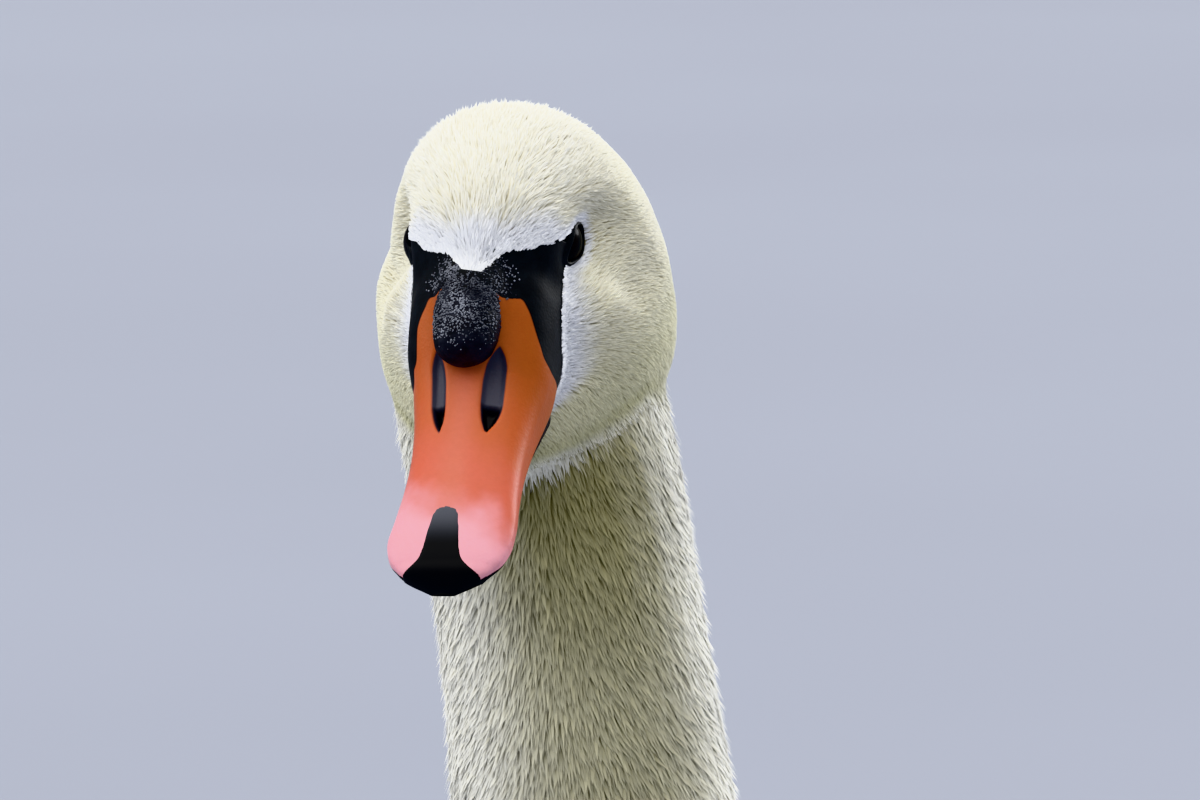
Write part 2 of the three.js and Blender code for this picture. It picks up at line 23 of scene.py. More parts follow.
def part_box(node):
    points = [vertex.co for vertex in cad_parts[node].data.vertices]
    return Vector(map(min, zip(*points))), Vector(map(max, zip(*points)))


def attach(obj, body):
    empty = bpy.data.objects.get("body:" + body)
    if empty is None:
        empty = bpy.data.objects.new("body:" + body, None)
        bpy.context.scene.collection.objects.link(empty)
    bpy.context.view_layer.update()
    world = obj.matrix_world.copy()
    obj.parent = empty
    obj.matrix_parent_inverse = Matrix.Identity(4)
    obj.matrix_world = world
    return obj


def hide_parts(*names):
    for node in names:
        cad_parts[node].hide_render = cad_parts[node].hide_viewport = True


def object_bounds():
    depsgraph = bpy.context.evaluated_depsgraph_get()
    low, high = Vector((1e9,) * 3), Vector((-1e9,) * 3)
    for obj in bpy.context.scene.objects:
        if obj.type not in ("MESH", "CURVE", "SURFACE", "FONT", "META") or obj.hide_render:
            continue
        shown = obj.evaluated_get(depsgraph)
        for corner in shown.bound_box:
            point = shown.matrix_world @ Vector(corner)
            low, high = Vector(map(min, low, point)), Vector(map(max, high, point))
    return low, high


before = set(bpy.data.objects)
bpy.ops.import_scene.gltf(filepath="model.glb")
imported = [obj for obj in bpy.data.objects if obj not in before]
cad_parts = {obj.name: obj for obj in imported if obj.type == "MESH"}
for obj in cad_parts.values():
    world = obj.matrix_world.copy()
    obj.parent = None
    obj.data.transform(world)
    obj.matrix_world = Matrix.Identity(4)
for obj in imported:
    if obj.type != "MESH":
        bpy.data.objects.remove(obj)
CAD_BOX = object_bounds()

bl_info = {
    "name": "Mute Swan",
    "version": (1, 0, 0),
    "blender": (4, 5, 0),
    "location": "3D View > Sidebar > Swan",
    "description": "Dresses the frame of a resting mute swan in skin, down, feathers and bill",
    "category": "Add Mesh",
}

MM = 0.001

# ---- Frame ----

FLESH = [
    "head",
    "neck_upper",
    "neck_middle",
    "neck_lower",
    "trunk",
    "wing_left",
    "wing_right",
    "thigh_left",
    "thigh_right",
    "tail",
]
FACE = ["head", "upper_bill", "eye_left", "eye_right", "bill_knob", "neck_upper"]
SIDES = (("left", 1), ("right", -1))


def corner(node, high):
    """Lowest or highest corner of a node, in millimetres."""
    return np.array(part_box(node)[1 if high else 0]) / MM


def centre(node):
    return (corner(node, False) + corner(node, True)) / 2


# The head's turn about the point midway between the eyes.
HEAD_YAW = math.radians(-22.3)
HEAD_PITCH = math.radians(30.1)
HEAD_ROLL = math.radians(-1.8)
EYES = (centre("eye_left") + centre("eye_right")) / 2
EYE_RADIUS = (corner("eye_left", True)[2] - corner("eye_left", False)[2]) / 2
EYE_ASIDE = np.linalg.norm(centre("eye_left") - centre("eye_right")) / 2
HEAD_AXES = np.array(
    Matrix.Rotation(HEAD_YAW, 3, "Z")
    @ Matrix.Rotation(HEAD_PITCH, 3, "X")
    @ Matrix.Rotation(HEAD_ROLL, 3, "Y")
)


def from_head(left, ahead, up):
    """World places, in millimetres, of places in the head's own frame."""
    left, ahead, up = np.broadcast_arrays(left, ahead, up)
    return np.stack([left, -ahead, up], axis=-1) @ HEAD_AXES.T + EYES


def to_head(points):
    """Left, ahead and up of world places."""
    local = (points - EYES) @ HEAD_AXES
    return local[..., 0], -local[..., 1], local[..., 2]


# ---- Small numeric helpers ----


def smooth(low, high, value):
    share = np.clip((value - low) / (high - low), 0, 1)
    return share * share * (3 - 2 * share)


def mix(a, b, share):
    return a + (b - a) * share


def power(value, exponent):
    return np.sign(value) * np.abs(value) ** exponent


def unit(vectors):
    return vectors / np.maximum(np.linalg.norm(vectors, axis=-1, keepdims=True), 1e-9)


def dot(a, b):
    return np.sum(a * b, axis=-1)


def curve(keys, values, at):
    """A smooth curve through a few keys, with the slopes of a Catmull-Rom spline."""
    keys = np.asarray(keys, float)
    values = np.asarray(values, float)
    slopes = np.gradient(values, keys)
    at = np.clip(at, keys[0], keys[-1])
    first = np.clip(np.searchsorted(keys, at) - 1, 0, len(keys) - 2)
    step = keys[first + 1] - keys[first]
    share = (at - keys[first]) / step
    square = share * share
    cube = square * share
    return (
        values[first] * (2 * cube - 3 * square + 1)
        + slopes[first] * step * (cube - 2 * square + share)
        + values[first + 1] * (3 * square - 2 * cube)
        + slopes[first + 1] * step * (cube - square)
    )


def wobble(points, size, seed):
    """A smooth uneven value from -1 to 1 over space, with lumps about as large as size."""
    rng = np.random.default_rng(seed)
    total = np.zeros(points.shape[:-1])
    waves = 7
    for _ in range(waves):
        heading = unit(rng.normal(size=3))
        length = size * rng.uniform(1.4, 3.2)
        total += np.sin(points @ heading * (2 * math.pi / length) + rng.uniform(0, 2 * math.pi))
    return np.tanh(total / math.sqrt(waves))


def linear(code):
    """An sRGB hex colour as linear red, green and blue."""
    parts = np.array([int(code[i : i + 2], 16) for i in (1, 3, 5)]) / 255
    return np.where(parts <= 0.04045, parts / 12.92, ((parts + 0.055) / 1.055) ** 2.4)


def shown(code):
    """A hex colour as the default of a colour property, which Blender keeps linear."""
    return tuple(float(part) for part in linear(code))


# ---- Distance fields ----


def node_arrays(names):
    """Corners, in millimetres, and triangles of several nodes together."""
    points = []
    faces = []
    start = 0
    for name in names:
        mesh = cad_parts[name].data
        mesh.calc_loop_triangles()
        place = np.empty(len(mesh.vertices) * 3, np.float32)
        mesh.vertices.foreach_get("co", place)
        corners = np.empty(len(mesh.loop_triangles) * 3, np.int32)
        mesh.loop_triangles.foreach_get("vertices", corners)
        points.append(place.reshape(-1, 3) / MM)
        faces.append(corners.reshape(-1, 3) + start)
        start += len(mesh.vertices)
    return np.concatenate(points).astype(np.float32), np.concatenate(faces).astype(np.uint32)


def blur(values, spread):
    """A Gaussian blur of a grid, one axis after another."""
    reach = max(1, int(math.ceil(spread * 2.5)))
    steps = np.arange(-reach, reach + 1)
    weights = np.exp(-0.5 * (steps / spread) ** 2)
    weights /= weights.sum()
    for axis in range(values.ndim):
        room = [(reach, reach) if a == axis else (0, 0) for a in range(values.ndim)]
        padded = np.pad(values, room, "edge")
        size = values.shape[axis]
        total = np.zeros_like(values)
        for step, weight in zip(steps, weights):
            cut = [slice(None)] * values.ndim
            cut[axis] = slice(reach + step, reach + step + size)
            total += np.float32(weight) * padded[tuple(cut)]
        values = total
    return values


def blended(grid, place):
    """Numbers or vectors of a grid between its points, each blended from the eight round it."""
    place = np.clip(place, 0, np.array(grid.shape[:3]) - 1.001)
    low = place.astype(np.int64)
    share = place - low
    x, y, z = low[..., 0], low[..., 1], low[..., 2]
    total = np.zeros(place.shape[:-1] + grid.shape[3:])
    for i, j, k in itertools.product((0, 1), repeat=3):
        near = np.abs(1 - np.array([i, j, k]) - share)
        weight = near[..., 0] * near[..., 1] * near[..., 2]
        if grid.ndim > 3:
            weight = weight[..., None]
        total += weight * grid[x + i, y + j, z + k]
    return total


class Field:
    """Distance from the outside of some nodes, on a grid: below zero within, in millimetres."""

    BRIDGE = 0.3
    BAND = 8

    def __init__(self, names, voxel, soften, box=None):
        points, faces = node_arrays(names)
        shape = openvdb.createLinearTransform(voxelSize=voxel)
        loose = openvdb.FloatGrid.createLevelSetFromPolygons(
            points, triangles=faces, transform=shape, halfWidth=3.0
        )
        hull, quads = loose.convertToQuads(isovalue=self.BRIDGE)
        whole = openvdb.FloatGrid.createLevelSetFromPolygons(
            hull, quads=quads, transform=shape, halfWidth=float(self.BAND)
        )
        margin = self.BAND * voxel
        low, high = (hull.min(0) - margin, hull.max(0) + margin) if box is None else box
        self.voxel = voxel
        self.first = np.floor(np.asarray(low) / voxel).astype(int)
        size = np.ceil(np.asarray(high) / voxel).astype(int) - self.first + 1
        values = np.zeros(tuple(size), np.float32)
        whole.copyToArray(values, ijk=tuple(int(i) for i in self.first))
        self.values = blur(values, soften / voxel)

    def surface(self):
        """The closed mesh where the field is zero."""
        return zero_mesh(self.values, self.voxel, self.first)

    def at(self, points):
        return blended(self.values, points / self.voxel - self.first)


def grid_places(first, shape, voxel):
    """World places of all points of a grid."""
    axes = [(first[a] + np.arange(shape[a])) * voxel for a in range(3)]
    return np.stack(np.meshgrid(*axes, indexing="ij"), axis=-1)


def zero_mesh(values, voxel, first):
    """Points and outward quads where the values of a grid cross zero."""
    grid = openvdb.FloatGrid(8.0 * voxel)
    held = np.ascontiguousarray(values, np.float32)
    grid.copyFromArray(held, ijk=tuple(int(i) for i in first))
    grid.transform = openvdb.createLinearTransform(voxelSize=voxel)
    points, quads = grid.convertToQuads(isovalue=0.0)
    points, quads = points.astype(float), quads.astype(np.int64)
    a, b, c, d = (points[quads[:, i]] for i in range(4))
    volume = dot(a, np.cross(b, c)).sum() + dot(a, np.cross(c, d)).sum()
    return points, quads if volume > 0 else quads[:, ::-1]


class Outside:
    """The outside of the plumage: a coarse field for the body and a fine one for the face."""

    EDGE = 9.0
    # How much flatter the down lies behind the eyes, by height, and the left side's share of that.
    LEFT_TEMPLE = 0.16
    TEMPLE = (
        [-58, -50, -42, -35, -27, -22, -18, -12, -6, 2, 8, 14, 22],
        [0, 0.8, 1.3, 1.7, 2.4, 4.0, 5.3, 4.9, 4.2, 3.0, 2.0, 1.2, 0],
    )

    def __init__(self):
        self.body = Field([*FLESH, "upper_bill", "eye_left", "eye_right"], 3.0, 3.4)
        low = np.minimum(corner("head", False), corner("upper_bill", False)) - 14
        high = np.maximum(corner("head", True), corner("upper_bill", True)) + 14
        self.low, self.high = low, high
        self.face = Field(FACE, 1.0, 1.9, (low, high))

    def share(self, points):
        """How far the fine field counts: 1 within its box, falling to 0 at its faces."""
        inside = np.minimum(points - self.low, self.high - points).min(axis=-1)
        return smooth(1.0, self.EDGE, inside)

    def at(self, points):
        depth = mix(self.body.at(points), self.face.at(points), self.share(points))
        return depth + self.temple(points)

    def temple(self, points):
        """How far the down lies flatter behind the eyes, more so on the side it is turned to."""
        left, ahead, up = to_head(points)
        front = mix(8.0, 3.0, smooth(-5, 5, left))
        along = smooth(front, -9, ahead) * smooth(-46, -24, ahead)
        flatter = mix(1.0, self.LEFT_TEMPLE, smooth(-5, 5, left))
        return flatter * along * np.interp(up, *self.TEMPLE)

    def out(self, points, reach=1.5):
        """The direction straight out of the plumage, with the field's steepness as its length."""
        slopes = []
        for axis in range(3):
            step = np.zeros(3)
            step[axis] = reach
            slopes.append((self.at(points + step) - self.at(points - step)) / (2 * reach))
        return np.stack(slopes, axis=-1)

    def settle(self, points, level, steps=3):
        """Moves points straight in or out until they lie at a level."""
        for _ in range(steps):
            slope = self.out(points)
            steep = np.maximum(dot(slope, slope), 0.2)
            off = np.clip(self.at(points) - level, -6, 6)
            points = points - slope * (off / steep)[..., None]
        return points


OUTSIDE = Outside()
WINGS = Field(["wing_left", "wing_right"], 3.0, 2.0)

# ---- The lie of the plumage ----


def neck_centres():
    """Middles of the body's level slices from under the head down to the breast."""
    field = OUTSIDE.body
    places = []
    for height in (640, 600, 555, 510, 465, 420, 375, 335, 300):
        layer = int(round(height / field.voxel - field.first[2]))
        inside = np.argwhere(field.values[:, :, layer] < 0)
        middle = (inside.mean(axis=0) + field.first[:2]) * field.voxel
        places.append((middle[0], middle[1], height))
    return places


def body_line():
    """The line inside the bird from the root of the bill to the tail, in even steps."""
    trunk_low, trunk_high = corner("trunk", False), corner("trunk", True)
    length = trunk_high[1] - trunk_low[1]
    level = trunk_high[2] * 0.45
    hand = [
        from_head(0, 34, -14),
        from_head(0, 12, -20),
        from_head(0, -10, -27),
        from_head(0, -24, -38),
        *neck_centres(),
        (0, trunk_low[1] + 0.155 * length, trunk_high[2] * 0.92),
        (0, trunk_low[1] + 0.23 * length, trunk_high[2] * 0.68),
        (0, trunk_low[1] + 0.38 * length, level * 1.08),
        (0, trunk_low[1] + 0.6 * length, level),
        (0, trunk_low[1] + 0.85 * length, level * 1.1),
        (0, corner("tail", True)[1], corner("tail", True)[2] - 8),
    ]
    hand = np.array([np.asarray(p, float) for p in hand])
    run = np.concatenate(([0], np.cumsum(np.linalg.norm(np.diff(hand, axis=0), axis=1))))
    even = np.arange(0, run[-1], 8.0)
    points = np.stack([curve(run, hand[:, a], even) for a in range(3)], axis=-1)
    return even, points, unit(np.gradient(points, axis=0))


LINE_RUN, LINE, LINE_HEADING = body_line()
NECK_FRONT = 0.48  # how far the feathers at the neck's sides turn away from its front


def line_place(points):
    """Nearest run along the body line, and the angle round it, of many points."""
    run = np.empty(len(points))
    angle = np.empty(len(points))
    for start in range(0, len(points), 20000):
        part = points[start : start + 20000]
        away = np.linalg.norm(part[:, None, :] - LINE[None, :, :], axis=-1)
        nearest = away.argmin(axis=1)
        offset = part - LINE[nearest]
        heading = LINE_HEADING[nearest]
        over = unit(np.cross(heading, [1.0, 0.0, 0.0]))
        run[start : start + 20000] = LINE_RUN[nearest] + dot(offset, heading)
        angle[start : start + 20000] = np.arctan2(offset[:, 0], dot(offset, over))
    return run, angle


class Lie:
    """Which way the plumage lies, on a coarse grid: away from the bill, along the body."""

    STEP = 10.0
    NEAR = 14.0

    def __init__(self):
        low, high = (np.array(side) / MM for side in CAD_BOX)
        self.first = low - 2 * self.STEP
        shape = np.ceil((high - self.first) / self.STEP).astype(int) + 3
        axes = [self.first[a] + np.arange(shape[a]) * self.STEP for a in range(3)]
        places = np.stack(np.meshgrid(*axes, indexing="ij"), axis=-1).reshape(-1, 3)
        headings = np.empty_like(places)
        for start in range(0, len(places), 20000):
            part = places[start : start + 20000]
            away = ((part[:, None, :] - LINE[None, :, :]) ** 2).sum(axis=-1)
            weights = (away + self.NEAR**2) ** -3
            weights /= weights.sum(axis=1, keepdims=True)
            headings[start : start + 20000] = weights @ LINE_HEADING
        self.headings = headings.reshape(*shape, 3)

    def at(self, points, out):
        """Unit headings along the surface whose outward direction is given."""
        heading = unit(blended(self.headings, (points - self.first) / self.STEP))
        heading += self.parting(points, out) + self.chin(points)
        heading -= out * dot(heading, out)[..., None]
        return unit(heading)

    def chin(self, points):
        """The downward turn of the chin's down, so that it starts under the bill."""
        _, ahead, up = to_head(points)
        share = smooth(4, 22, ahead) * smooth(-28, -38, up)
        return -1.4 * share[..., None] * HEAD_AXES[:, 2]

    def parting(self, points, out):
        """The sideways turn of the neck's feathers, away from the middle of its front."""
        height = points[..., 2]
        share = smooth(250, 330, height) * (1 - smooth(630, 668, height))
        aside = np.stack([-out[..., 1], out[..., 0], np.zeros(out.shape[:-1])], axis=-1)
        turn = np.sin(np.arctan2(out[..., 0], -out[..., 1]))
        return aside * (NECK_FRONT * share * turn)[..., None]


LIE = Lie()

# ---- Bare skin of the face, in the head's frame ----

# How far ahead of the eyes the feathers reach: over the brow, by distance from the midline, and on
# the cheek, by height.
BROW_EDGE = (
    [0, 2, 4.6, 6.5, 11, 16.2, 18.4, 22.3, 24, 27],
    [33, 29.4, 25, 21.4, 18.3, 14, 11.7, 4, -4, -7],
)
BROW_MIDDLE = -0.2
CHEEK_EDGE = (
    [-45, -34, -31.2, -28.6, -23.4, -15.5, -8.1, -4.2, -1.5, 0.3, 1.6, 3.5, 5, 6.2, 7.2, 9],
    [42, 37, 31.5, 29, 27.4, 24.6, 20, 13.6, 9.4, 6.6, 4, 1, 1.5, 3.2, 9, 12],
)
EYE_OPENING = {"long": 5.5, "tall": 4.6, "front": 2.2, "temple": 0.4}

# The crease under the jowls, where the head's down ends: height by distance ahead of the eyes.
JOWL_EDGE = ([-45, -7, 0, 24, 35], [-74, -57, -52, -51.5, -47.5])


def bare_ahead(points, farthest=99.0):
    """How far ahead of the feathers' edge a place is: above zero on the bare face.

    The point of feathers over the knob can be cut off at a farthest distance ahead of the eyes.
    """
    left, ahead, up = to_head(points)
    brow = np.minimum(np.interp(np.abs(left - BROW_MIDDLE), *BROW_EDGE), farthest)
    brow = brow - 2.2 * np.maximum(6.4 - up, 0) * smooth(14, 18, np.abs(left))
    brow = brow - 2.4 * smooth(-15, -19, left) * smooth(14, 9, up)
    cheek = np.interp(up, *CHEEK_EDGE)
    return ahead - np.maximum(brow, cheek) - 4 * np.maximum(-34 - up, 0)


def eye_share(points):
    """Distance from the middle of the nearest eye, as a share of its opening's edge."""
    left, ahead, up = to_head(points)
    angle = np.arctan2(up, ahead)
    share = np.hypot(ahead, up) / opening_reach(angle)
    return np.where(np.abs(left) > 12, share, 9.0)


def opening_reach(angle):
    """The eye opening's reach at an angle from straight ahead, with a point towards the bill."""
    oval = 1 / np.hypot(np.cos(angle) / EYE_OPENING["long"], np.sin(angle) / EYE_OPENING["tall"])
    front = np.exp(-((np.angle(np.exp(1j * (angle + 0.1))) / 0.45) ** 2))
    back = np.exp(-((np.angle(np.exp(1j * (angle - 2.8))) / 0.4) ** 2))
    return oval + EYE_OPENING["front"] * front + EYE_OPENING["temple"] * back


# ---- Meshes ----


def make_mesh(name, points, *faces):
    """A smooth mesh object from places in millimetres and arrays of faces."""
    loops = np.concatenate([part.ravel() for part in faces]).astype(np.int32)
    counts = np.concatenate([np.full(len(part), part.shape[1]) for part in faces])
    starts = np.concatenate(([0], np.cumsum(counts)[:-1])).astype(np.int32)
    mesh = bpy.data.meshes.new(name)
    mesh.vertices.add(len(points))
    mesh.vertices.foreach_set("co", (np.asarray(points) * MM).astype(np.float32).ravel())
    mesh.loops.add(len(loops))
    mesh.loops.foreach_set("vertex_index", loops)
    mesh.polygons.add(len(counts))
    mesh.polygons.foreach_set("loop_start", starts)
    mesh.polygons.foreach_set("loop_total", counts.astype(np.int32))
    mesh.polygons.foreach_set("use_smooth", np.ones(len(counts), bool))
    mesh.update(calc_edges=True)
    piece = bpy.data.objects.new(name, mesh)
    bpy.context.scene.collection.objects.link(piece)
    return piece


def set_tint(piece, colours):
    """A colour for each corner point, kept as the colour attribute Tint."""
    attribute = piece.data.attributes.new("Tint", "FLOAT_COLOR", "POINT")
    rgba = np.ones((len(colours), 4), np.float32)
    rgba[:, :3] = colours
    attribute.data.foreach_set("color", rgba.ravel())


def set_number(piece, name, values):
    attribute = piece.data.attributes.new(name, "FLOAT", "POINT")
    attribute.data.foreach_set("value", np.asarray(values, np.float32))


def set_map(piece, name, places):
    """A UV map from one place for each corner point."""
    loops = np.empty(len(piece.data.loops), np.int32)
    piece.data.loops.foreach_get("vertex_index", loops)
    layer = piece.data.uv_layers.new(name=name)
    layer.data.foreach_set("uv", places[loops].astype(np.float32).ravel())


def grid_faces(rows, columns, closed):
    """Quads over a grid of points, row by row, whose rows close on themselves or not."""
    across = np.arange(columns if closed else columns - 1)
    along = np.arange(rows - 1)[:, None] * columns
    beside = (across + 1) % columns
    quads = np.stack(
        [along + across, along + beside, along + columns + beside, along + columns + across], axis=-1
    )
    return quads.reshape(-1, 4)


def finish_piece(piece, material, *nodes, slot):
    """Gives a piece its material and its place in the frame, and hides the nodes that it stands for."""
    if material.name not in piece.data.materials:
        piece.data.materials.append(material)
    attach(piece, "root")
    if nodes:
        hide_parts(*nodes)


# ---- Materials ----


def colour(value):
    """A colour property or linear colour as a socket's red, green, blue and alpha."""
    return (*[float(part) for part in value][:3], 1.0)


def add(tree, kind, inputs=None, stops=(), **settings):
    """Adds a node with its settings, its links and a colour ramp's (place, linear colour) stops.

    An input is given a value, or linked from a socket or from the first output that a node uses.
    """
    made = tree.nodes.new(kind)
    for name, value in settings.items():
        setattr(made, name, value)
    for name, value in (inputs or {}).items():
        if isinstance(value, bpy.types.Node):
            value = next(output for output in value.outputs if output.enabled)
        if isinstance(value, bpy.types.NodeSocket):
            tree.links.new(value, made.inputs[name])
        else:
            made.inputs[name].default_value = value
    if stops:
        made.color_ramp.interpolation = "EASE"
        while len(made.color_ramp.elements) < len(stops):
            made.color_ramp.elements.new(0.5)
        for element, (place, value) in zip(made.color_ramp.elements, stops):
            element.position = place
            element.color = colour(value)
    return made


def new_material(name):
    material = bpy.data.materials.new(name)
    material.use_nodes = True
    material.node_tree.nodes.clear()
    return material, material.node_tree


def end_material(tree, **inputs):
    """The shader and the output that every material ends with."""
    named = {key.replace("_", " "): value for key, value in inputs.items()}
    shader = add(tree, "ShaderNodeBsdfPrincipled", named)
    add(tree, "ShaderNodeOutputMaterial", {"Surface": shader})


def plumage_material(name, barbed, silky=0.3):
    """White plumage: dry keratin barbs scatter light nearly evenly, with a faint silky sheen.

    Barbs leave a vane's shaft every 0.5 mm in life; they are drawn about 1.5 mm apart so they show.
    """
    material, tree = new_material(name)
    tint = add(tree, "ShaderNodeAttribute", attribute_name="Tint")
    place = add(tree, "ShaderNodeTexCoord").outputs["Object"]
    mottle = add(tree, "ShaderNodeTexNoise", {"Vector": place, "Scale": 420.0, "Detail": 2.0})
    shade = add(tree, "ShaderNodeMapRange", {"Value": mottle, "To Min": 0.93, "To Max": 1.04})
    base = add(tree, "ShaderNodeVectorMath", {0: tint, 1: shade}, operation="MULTIPLY")
    inputs = {
        "Base_Color": base,
        "Roughness": 0.82,
        "Sheen_Weight": silky,
        "Sheen_Roughness": 0.5,
        "Specular_IOR_Level": 0.25,
    }
    if barbed:
        vane = add(tree, "ShaderNodeUVMap", uv_map="Vane")
        parts = add(tree, "ShaderNodeSeparateXYZ", {"Vector": vane})
        across = add(tree, "ShaderNodeMath", {0: parts.outputs["X"]}, operation="ABSOLUTE")
        shaft = add(
            tree,
            "ShaderNodeMapRange",
            {"Value": across, "From Min": 0.2, "From Max": 0.9, "To Min": 0.8, "To Max": 1.0},
        )
        base = add(tree, "ShaderNodeVectorMath", {0: base, 1: shaft}, operation="MULTIPLY")
        inputs["Base_Color"] = base
        slant = add(tree, "ShaderNodeMath", {0: parts.outputs["Y"], 1: across}, operation="SUBTRACT")
        barbs = add(tree, "ShaderNodeMath", {0: slant, 1: 2 * math.pi / 1.5}, operation="MULTIPLY")
        ridges = add(tree, "ShaderNodeMath", {0: barbs}, operation="SINE")
        bump = add(tree, "ShaderNodeBump", {"Height": ridges, "Strength": 0.35, "Distance": 0.0003})
        inputs["Normal"] = bump
    end_material(tree, **inputs)
    return material


def skin_material():
    """Thin pale bird skin under the coat: soft, slightly waxy, with fine creases."""
    material, tree = new_material("Coat base skin")
    tint = add(tree, "ShaderNodeAttribute", attribute_name="Tint")
    place = add(tree, "ShaderNodeTexCoord").outputs["Object"]
    creases = add(tree, "ShaderNodeTexNoise", {"Vector": place, "Scale": 900.0, "Detail": 3.0})
    bump = add(tree, "ShaderNodeBump", {"Height": creases, "Strength": 0.4, "Distance": 0.0004})
    end_material(tree, Base_Color=tint, Roughness=0.8, Normal=bump)
    return material


def black_skin(tree, place, dark, pale):
    """Colour and height of the bare black skin: fine pebbling with paler grey dust."""
    pebbles = add(tree, "ShaderNodeTexVoronoi", {"Vector": place, "Scale": 1500.0}, feature="SMOOTH_F1")
    folds = add(tree, "ShaderNodeTexNoise", {"Vector": place, "Scale": 260.0, "Detail": 4.0})
    tone = add(tree, "ShaderNodeValToRGB", {"Fac": folds}, [(0.3, dark), (0.75, pale)])
    height = add(tree, "ShaderNodeMath", {0: pebbles, 1: folds}, operation="ADD")
    return tone, height


def bill_material(props):
    """The bill's horn: orange keratin, smooth and half matt, running to salmon and pink ahead.

    The black face skin meets it along the attribute Edge, in millimetres into the orange.
    """
    material, tree = new_material("Orange bill horn and black face skin")
    place = add(tree, "ShaderNodeTexCoord").outputs["Object"]
    along = add(tree, "ShaderNodeAttribute", attribute_name="Along").outputs["Fac"]
    edge = add(tree, "ShaderNodeAttribute", attribute_name="Edge").outputs["Fac"]
    rise = add(tree, "ShaderNodeAttribute", attribute_name="Rise").outputs["Fac"]
    hollow = add(tree, "ShaderNodeAttribute", attribute_name="Hollow").outputs["Fac"]
    hole = add(tree, "ShaderNodeAttribute", attribute_name="Nostril").outputs["Fac"]
    blotch = add(tree, "ShaderNodeTexNoise", {"Vector": place, "Scale": 55.0, "Detail": 3.0})
    shifted = add(tree, "ShaderNodeMath", {0: blotch, 1: 0.34, 2: along}, operation="MULTIPLY_ADD")
    shades = [
        (0.16, props.horn_root),
        (0.44, props.horn_middle),
        (0.68, props.horn_salmon),
        (0.89, props.horn_pink),
    ]
    horn = add(tree, "ShaderNodeValToRGB", {"Fac": shifted}, shades)
    # Painted highlight: a paler salmon along the ridge.
    ridge_highlighted = add(
        tree,
        "ShaderNodeMix",
        {"Factor": rise, "A": horn, "B": colour(props.horn_ridge_highlight)},
        data_type="RGBA",
    )
    veins = add(tree, "ShaderNodeTexNoise", {"Vector": place, "Scale": 600.0, "Detail": 5.0})
    fine = add(tree, "ShaderNodeMapRange", {"Value": veins, "To Min": 0.93, "To Max": 1.07})
    horn = add(tree, "ShaderNodeVectorMath", {0: ridge_highlighted, 1: fine}, operation="MULTIPLY")
    tone, height = black_skin(tree, place, props.black_skin, props.black_pale)
    into = add(tree, "ShaderNodeMapRange", {"Value": edge, "From Min": -0.12, "From Max": 0.12})
    shell = add(tree, "ShaderNodeMix", {"Factor": into, "A": tone, "B": horn}, data_type="RGBA")
    # Painted shade: the nostril's opening runs to near black, as the dark inside a hole.
    inside = add(tree, "ShaderNodeMapRange", {"Value": hole, "From Min": -0.4, "From Max": 0.5})
    nostril = add(
        tree,
        "ShaderNodeMix",
        {"Factor": inside, "A": colour(props.nostril_skin), "B": colour(linear("#030203"))},
        data_type="RGBA",
    )
    sunk = add(tree, "ShaderNodeMapRange", {"Value": hollow, "From Min": -0.15, "From Max": 0.2})
    final = add(tree, "ShaderNodeMix", {"Factor": sunk, "A": shell, "B": nostril}, data_type="RGBA")
    rough = add(tree, "ShaderNodeMapRange", {"Value": into, "To Min": 0.62, "To Max": 0.42})
    bump = add(tree, "ShaderNodeBump", {"Height": height, "Strength": 0.25, "Distance": 0.0002})
    end_material(
        tree,
        Base_Color=final,
        Roughness=rough,
        Specular_IOR_Level=0.16,
        Subsurface_Weight=0.05,
        Subsurface_Scale=0.002,
        Normal=bump,
    )
    return material


def nail_material():
    """The nail's hard horn: grey on its top towards the back, a painted sheen, black and smooth at its
    hooked end.
    """
    material, tree = new_material("Black nail horn")
    tint = add(tree, "ShaderNodeAttribute", attribute_name="Tint")
    place = add(tree, "ShaderNodeTexCoord").outputs["Object"]
    scratches = add(tree, "ShaderNodeTexNoise", {"Vector": place, "Scale": 700.0, "Detail": 4.0})
    bump = add(tree, "ShaderNodeBump", {"Height": scratches, "Strength": 0.15, "Distance": 0.0002})
    end_material(tree, Base_Color=tint, Roughness=0.45, Specular_IOR_Level=0.12, Normal=bump)
    return material


def dark_skin_material(name, dark, pale, roughness, coat=0.0, grain=1500.0):
    """Bare black skin or horn with a fine pebbled or worn surface."""
    material, tree = new_material(name)
    place = add(tree, "ShaderNodeTexCoord").outputs["Object"]
    pebbles = add(tree, "ShaderNodeTexVoronoi", {"Vector": place, "Scale": grain}, feature="SMOOTH_F1")
    folds = add(tree, "ShaderNodeTexNoise", {"Vector": place, "Scale": grain / 6, "Detail": 4.0})
    tone = add(tree, "ShaderNodeValToRGB", {"Fac": folds}, [(0.3, dark), (0.75, pale)])
    bump = add(tree, "ShaderNodeBump", {"Height": pebbles, "Strength": 0.35, "Distance": 0.0003})
    end_material(
        tree,
        Base_Color=tone,
        Roughness=roughness,
        Specular_IOR_Level=0.12,
        Coat_Weight=coat,
        Coat_Roughness=0.3,
        Normal=bump,
    )
    return material


def eye_material(props):
    """A wet eye: dark hazel iris round a black pupil, under a clear, mirror-smooth cornea."""
    material, tree = new_material("Wet dark brown eye")
    ring = add(tree, "ShaderNodeAttribute", attribute_name="Ring").outputs["Fac"]
    pupil, rim = linear("#020202"), linear("#030303")
    shades = [(0.3, pupil), (0.36, props.iris), (0.6, props.iris), (0.7, rim)]
    tone = add(tree, "ShaderNodeValToRGB", {"Fac": ring}, shades)
    end_material(
        tree,
        Base_Color=tone,
        Roughness=0.4,
        Specular_IOR_Level=0.03,
        Coat_Weight=0.08,
        Coat_Roughness=0.02,
    )
    return material


